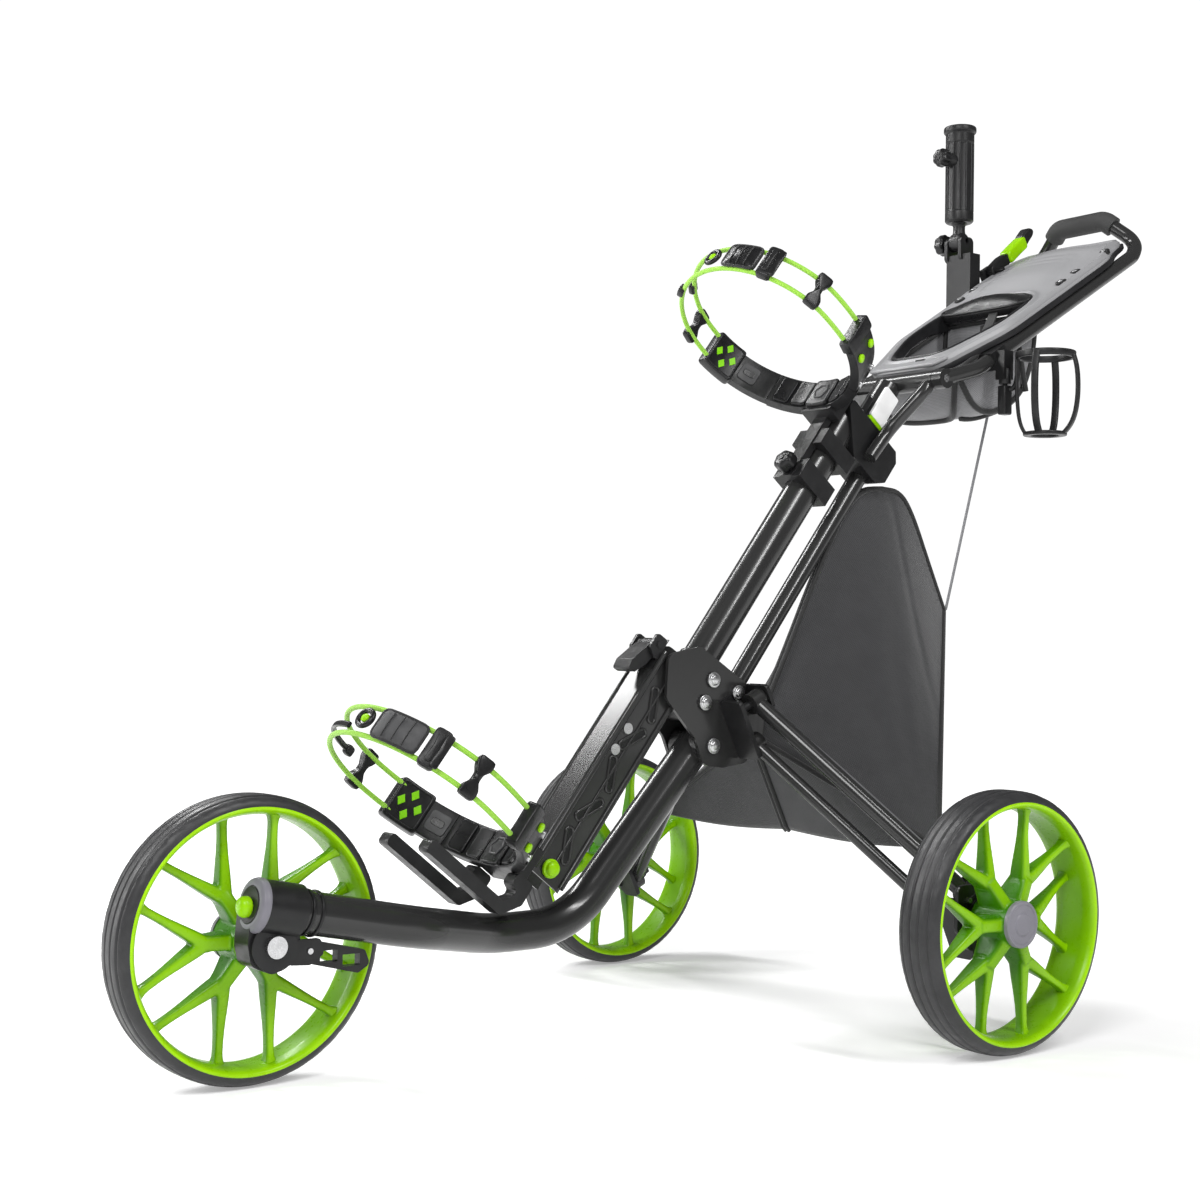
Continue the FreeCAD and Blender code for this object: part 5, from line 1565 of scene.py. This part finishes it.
@dataclass(frozen=True)
class FrameDetail:
    """Small pieces on the frame: collars, bolts, a plain neck plate and the fork's trim."""

    bolt_x: float = 34.6
    bolts: tuple[tuple[float, float], ...] = ((596, 406), (583, 379), (636, 390), (597, 327))
    tube_half: tuple[float, float] = (20.0, 23.0)
    socket: tuple[float, float, float] = (52.0, -4.0, 184.0)
    socket_run: tuple[float, float, float] = (0.0, 169.0, -34.0)

    def washers(self) -> None:
        """Domed bolt heads with washers on both hinge plates."""
        head = softened([(0, 0.5), (0, 9.5), (1.2, 9.5), (1.4, 6.6), (4.2, 5.4), (5.0, 0.5)], 0.8)
        shells("hinge_bolts", STEEL, "frame", [
            lathe(head, (self.bolt_x * side.value, *spot), (side.value, 0, 0), 40)
            for side in Side for spot in self.bolts])

    def collars(self) -> None:
        """Moulded collars round the main tube, square to it."""
        skin = Skin()
        (x, out), (wide, high) = circle(1.0, 64).T, self.tube_half
        for along, half in ((-22.0, 6.0), (330.0, 5.0)):
            rows = [MAST.place(x * (wide + grow), along + shift, out * (high + grow))
                    for shift, grow in ((-half, 0.2), (-half, 2.2), (1.5 - half, 3.4),
                                        (half - 1.5, 3.4), (half, 2.2), (half, 0.2))]
            skin.add(np.stack(rows), wrap_rows=True)
        skin.build("tube_collars", CAST_BLACK, "frame")

    def neck_plate(self) -> None:
        """Plain pale plate on the neck with a lime edge."""
        plate = slab(panel_outline(25.0, 14.0, 3.0), 15.0, 19.6, 0.8, MAST.upright(433.0, -31.0))
        shells("neck_plate", PLATE_PALE, "frame", [plate])
        edge = slab(panel_outline(3.0, 14.0, 1.5), 14.5, 20.4, 0.8, MAST.upright(404.0, -31.0))
        shells("neck_lime_edge", LIME, "frame", [edge])

    def channel(self) -> None:
        """Beads along the channel's edges, framed slots on its sides, and a lime stop button."""
        beads, frames, wells = Skin(), Skin(), Skin()
        along, outline = np.linspace(-356.0, -56.0, 30), panel_outline(21.0, 5.0, 5.0, 4.0)
        for side in Side:
            x = 22.6 * side.value
            for out, size in ((62.0, 3.6), (15.0, 3.6), (39.0, 1.8)):
                beads.add(bead(MAST.place(x, along, out), size, ACROSS))
            for number in range(5):
                cos, sin = math.cos(0.5), math.sin(0.5) * (-1) ** number
                turned = outline @ np.array([[cos, sin], [-sin, cos]])
                face = MAST.upright(-312.0 + 50.0 * number, 38.0, 22.0, side.value)
                frames.add(hoop(face, turned, 0.6, 1.8, ACROSS), wrap_rows=True)
                wells.add(slab(turned, -0.3, 0.7, 0.3, face))
        beads.build("channel_beads", TUBE_BLACK, "frame")
        frames.build("channel_frames", TUBE_BLACK, "frame")
        wells.build("channel_wells", CLIP_BLACK, "frame")
        stud = softened([(0, 0.4), (0, 11.0), (4, 11.0), (4.4, 8.6), (9.0, 8.2), (10.8, 5.0),
                         (11.2, 0.4)], 1.0)
        shells("stop_button", LIME, "frame",
               [lathe(stud, MAST.drawing(22.0, -346.0, 42.0), (1, 0, 0), 48)])

    def fork(self) -> None:
        """Pale end plate on the fork's socket and the lime release button with its collar."""
        start, run = np.array(self.socket), np.array(self.socket_run)
        length = float(np.linalg.norm(run))
        run /= length
        plate = softened([(-19.0, 11.5), (-19.0, 22.0), (-17.0, 26.5), (-13.0, 27.8), (-9.0, 27.8),
                          (-8.6, 20.0), (-8.6, 11.5)], 1.4)
        shells("fork_end_plate", CAP_GREY, "front_arm", [lathe(plate, start, run, 72)],
               slot="casting_black", wrap_rows=True)
        button = softened([(0, 7.6), (-22, 7.6), (-24, 10.4), (-30, 10.6), (-33.5, 8.8), (-35, 5),
                           (-35.4, 0.4)], 1.2)
        shells("release_button_cap", LIME, "release_button",
               [lathe(button, (52, 0, 186), (0, 1, 0), 56)], replaces=["wheel_release_button"])
        band = softened([(-1.6, 22.0), (-1.6, 23.8), (1.6, 23.8), (1.6, 22.0)], 0.6)
        shells("arm_tube_bands", CAST_BLACK, "front_arm",
               [lathe(band, start + run * length * share, run, 64)
                for share in np.linspace(0.12, 0.3, 4)], wrap_rows=True)

    def make(self) -> None:
        """Builds the details."""
        self.washers()
        self.collars()
        self.neck_plate()
        self.channel()
        self.fork()


def lay_cords() -> None:
    """Strap cords, the net's cord and the brake cable."""
    for strap in STRAPS:
        strap.cords()
    net = [cart(0.0, 1048.0, 500.0), cart(12.0, 1077.5, 642.2), cart(24.0, 1107.0, 784.0)]
    lay_cord("net_elastic", net, 2.0, GREY_CORD, "frame", "net_cord", 0.291)
    route = [LEG.place(*p) for p in ((34, 24, 27), (66, 27, 25), (124, 69, 23.6), (232, 173, 23.6),
                                     (272, 211, 23.6))]
    lay_cord("brake_line", route, 2.0, CABLE_SHEATH, "frame", "brake_cable", 0.306)


# ---------------------------------------------------------------- the camera

@dataclass(frozen=True)
class Studio:
    """Camera, pale floor and soft lights."""

    eye: tuple[float, float, float] = (1667.3, -861.1, 452.2)
    azimuth: float = 51.87
    elevation: float = -1.24
    roll: float = 0.89
    lens: float = 54.70
    sky: float = 0.17
    backdrop: float = 1.05
    floor_radius: float = 30.0

    def camera(self) -> None:
        """Camera axes: forward from azimuth and elevation, then turned about it by the roll."""
        a, e, r = (math.radians(v) for v in (self.azimuth, self.elevation, self.roll))
        forward = np.array([-math.sin(a) * math.cos(e), math.cos(a) * math.cos(e), -math.sin(e)])
        right = np.array([math.cos(a), math.sin(a), 0.0])
        up = np.cross(right, forward)
        x_axis = math.cos(r) * right + math.sin(r) * up
        y_axis = -math.sin(r) * right + math.cos(r) * up
        data = bpy.data.cameras.new("view")
        data.lens, data.sensor_width = self.lens, 36.0
        data.clip_start, data.clip_end = 0.05, 60.0
        bpy.context.scene.camera = self.stand("view", data, (x_axis, y_axis, -forward),
                                              cart(*self.eye))

    def stand(self, name: str, data: bpy.types.ID, axes: Sequence[Array],
              place: Sequence[float]) -> bpy.types.Object:
        """Puts a camera or lamp into the scene.

        Args:
            name: Its name.
            data: Its camera or light data.
            axes: Its x, y and z directions.
            place: Its point in metres.

        Returns:
            The new object.
        """
        obj = bpy.data.objects.new(name, data)
        bpy.context.scene.collection.objects.link(obj)
        matrix = np.eye(4)
        matrix[:3, :3] = np.stack(axes, axis=1)
        matrix[:3, 3] = place
        obj.matrix_world = Matrix(matrix.tolist())
        return obj

    def light(self, name: str, place: tuple[float, float, float], aim: float,
              size: tuple[float, float], watts: float) -> None:
        """One soft rectangular light aimed at a point above the middle of the floor.

        Args:
            name: Its name.
            place: Where it stands, in metres.
            aim: Height of the point, in metres.
            size: Its width and height in metres.
            watts: Its power.
        """
        data = bpy.data.lights.new(name, "AREA")
        data.shape, data.size, data.size_y, data.energy = "RECTANGLE", *size, watts
        away = np.array(place) - (0.0, 0.0, aim)
        away /= np.linalg.norm(away)
        side = np.cross((0.0, 0.0, 1.0), away)
        side /= np.linalg.norm(side)
        self.stand(name, data, (side, np.cross(away, side), away), place)

    def floor(self) -> None:
        """A large pale disc under the wheels."""
        mesh = bpy.data.meshes.new("floor")
        ring = circle(self.floor_radius, 96)
        mesh.from_pydata([(x, y, -0.0005) for x, y in ring.tolist()], [], [list(range(96))])
        obj = bpy.data.objects.new("floor", mesh)
        bpy.context.scene.collection.objects.link(obj)
        made = Nodes("pale_floor")
        reach = made.node("VectorMath", Vector=made.coords)
        reach.operation = "LENGTH"
        glow = made.node("MapRange", Value=reach.outputs["Value"], From_Min=0.5, From_Max=3.5,
                         To_Min=0.30, To_Max=1.0)
        made.shade(Base_Color=made.mix(made.noise(1.2), (0.86, 0.86, 0.86), (0.88, 0.88, 0.88)),
                   Emission_Strength=glow.outputs["Result"], Emission_Color=(1.0, 1.0, 1.0, 1.0),
                   Roughness=0.75, Specular_IOR_Level=0.2)
        mesh.materials.append(made.made)
        obj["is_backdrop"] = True

    def make(self) -> None:
        """Builds the studio."""
        scene = bpy.context.scene
        scene.view_settings.view_transform = "Standard"
        world = bpy.data.worlds.new("studio")
        world.use_nodes = True
        sky = world.node_tree.nodes["Background"]
        sky.inputs["Color"].default_value = (1.0, 1.0, 1.0, 1.0)
        seen = world.node_tree.nodes.new("ShaderNodeLightPath").outputs["Is Camera Ray"]
        strength = world.node_tree.nodes.new("ShaderNodeMapRange")
        strength.inputs["To Min"].default_value = self.sky
        strength.inputs["To Max"].default_value = self.backdrop
        world.node_tree.links.new(seen, strength.inputs["Value"])
        world.node_tree.links.new(strength.outputs["Result"], sky.inputs["Strength"])
        scene.world = world
        self.camera()
        self.floor()
        for name, place, aim, size, watts in (
                ("key", (1.6, -2.4, 2.6), 0.5, (1.2, 1.2), 62.0),
                ("left", (-1.8, -2.2, 1.4), 0.5, (0.35, 2.2), 46.0),
                ("right_streak", (2.2, 0.25, 2.6), 0.6, (0.22, 1.8), 46.0),
                ("left_streak", (-1.6, -0.35, 2.4), 0.6, (0.22, 1.8), 46.0)):
            self.light(name, place, aim, size, watts)


# ------------------------------------------------------------- the CAD nodes

NODE_FINISHES: dict[str, Finish] = {
    node: finish for finish, nodes in (
        (TUBE_BLACK, "main_tube rear_stay lower_channel front_arm_tube handle_frame handle_stems"
                     " hinge_plates upper_link lower_link"),
        (STEEL, "frame_pins axle brake_pin bearings"), (GRIP, "handle_grip"),
    ) for node in nodes.split()}

WELD_DISTANCE = 0.00002
EDGE_WIDTH = 0.0018
EDGED = ("frame_brackets", "joint_housing", "umbrella_base", "rail_clamps", "bag_rest_prongs",
         "hinge_plates", "lower_channel", "right_carrier", "left_carrier", "lower_saddle",
         "upper_saddle", "alignment_lever", "fold_lever", "handle_latch")


def dress_frame(nodes: dict[str, bpy.types.Object]) -> None:
    """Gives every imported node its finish, by its name or its name without the first word.

    Those not named above are cast black, and those in EDGED get small bevels on their edges.

    Args:
        nodes: The frame's objects by node name.
    """
    for name, obj in nodes.items():
        short = NODE_FINISHES.get(name.partition("_")[2], CAST_BLACK)
        material = NODE_FINISHES.get(name, short).material()
        if obj.material_slots:
            for slot in obj.material_slots:
                slot.material = material
        else:
            obj.data.materials.append(material)
        if name in EDGED:
            weld = obj.modifiers.new("join", "WELD")
            weld.merge_threshold = WELD_DISTANCE
            bevel = obj.modifiers.new("edges", "BEVEL")
            bevel.width, bevel.segments = EDGE_WIDTH, 3
            bevel.limit_method, bevel.angle_limit = "ANGLE", math.radians(40)
            bevel.harden_normals = True


WHEELS = (
    Wheel("front", "front_wheel", 0.0, 0.0, 26.0, -1),
    Wheel("right", "right_wheel", 347.5, 750.0, 27.5, 1),
    Wheel("left", "left_wheel", -347.5, 750.0, 27.5, -1),
)


def corners() -> list[list[float]]:
    """The shown object's lowest and highest corner as plain lists."""
    return [list(corner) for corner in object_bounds()]


def main() -> None:
    """Loads the frame and builds every piece round it."""
    logging.basicConfig(level=logging.INFO, format="%(message)s")
    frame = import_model()
    Studio().make()
    lay_cords()
    dress_frame(frame["nodes"])
    for wheel in WHEELS:
        wheel.make()
    for strap in STRAPS:
        strap.make()
    for side in Side:
        Net(side).make()
    Pouch().make()
    Console().make()
    Holders().make()
    FrameDetail().make()


if __name__ == "__main__":
    main()
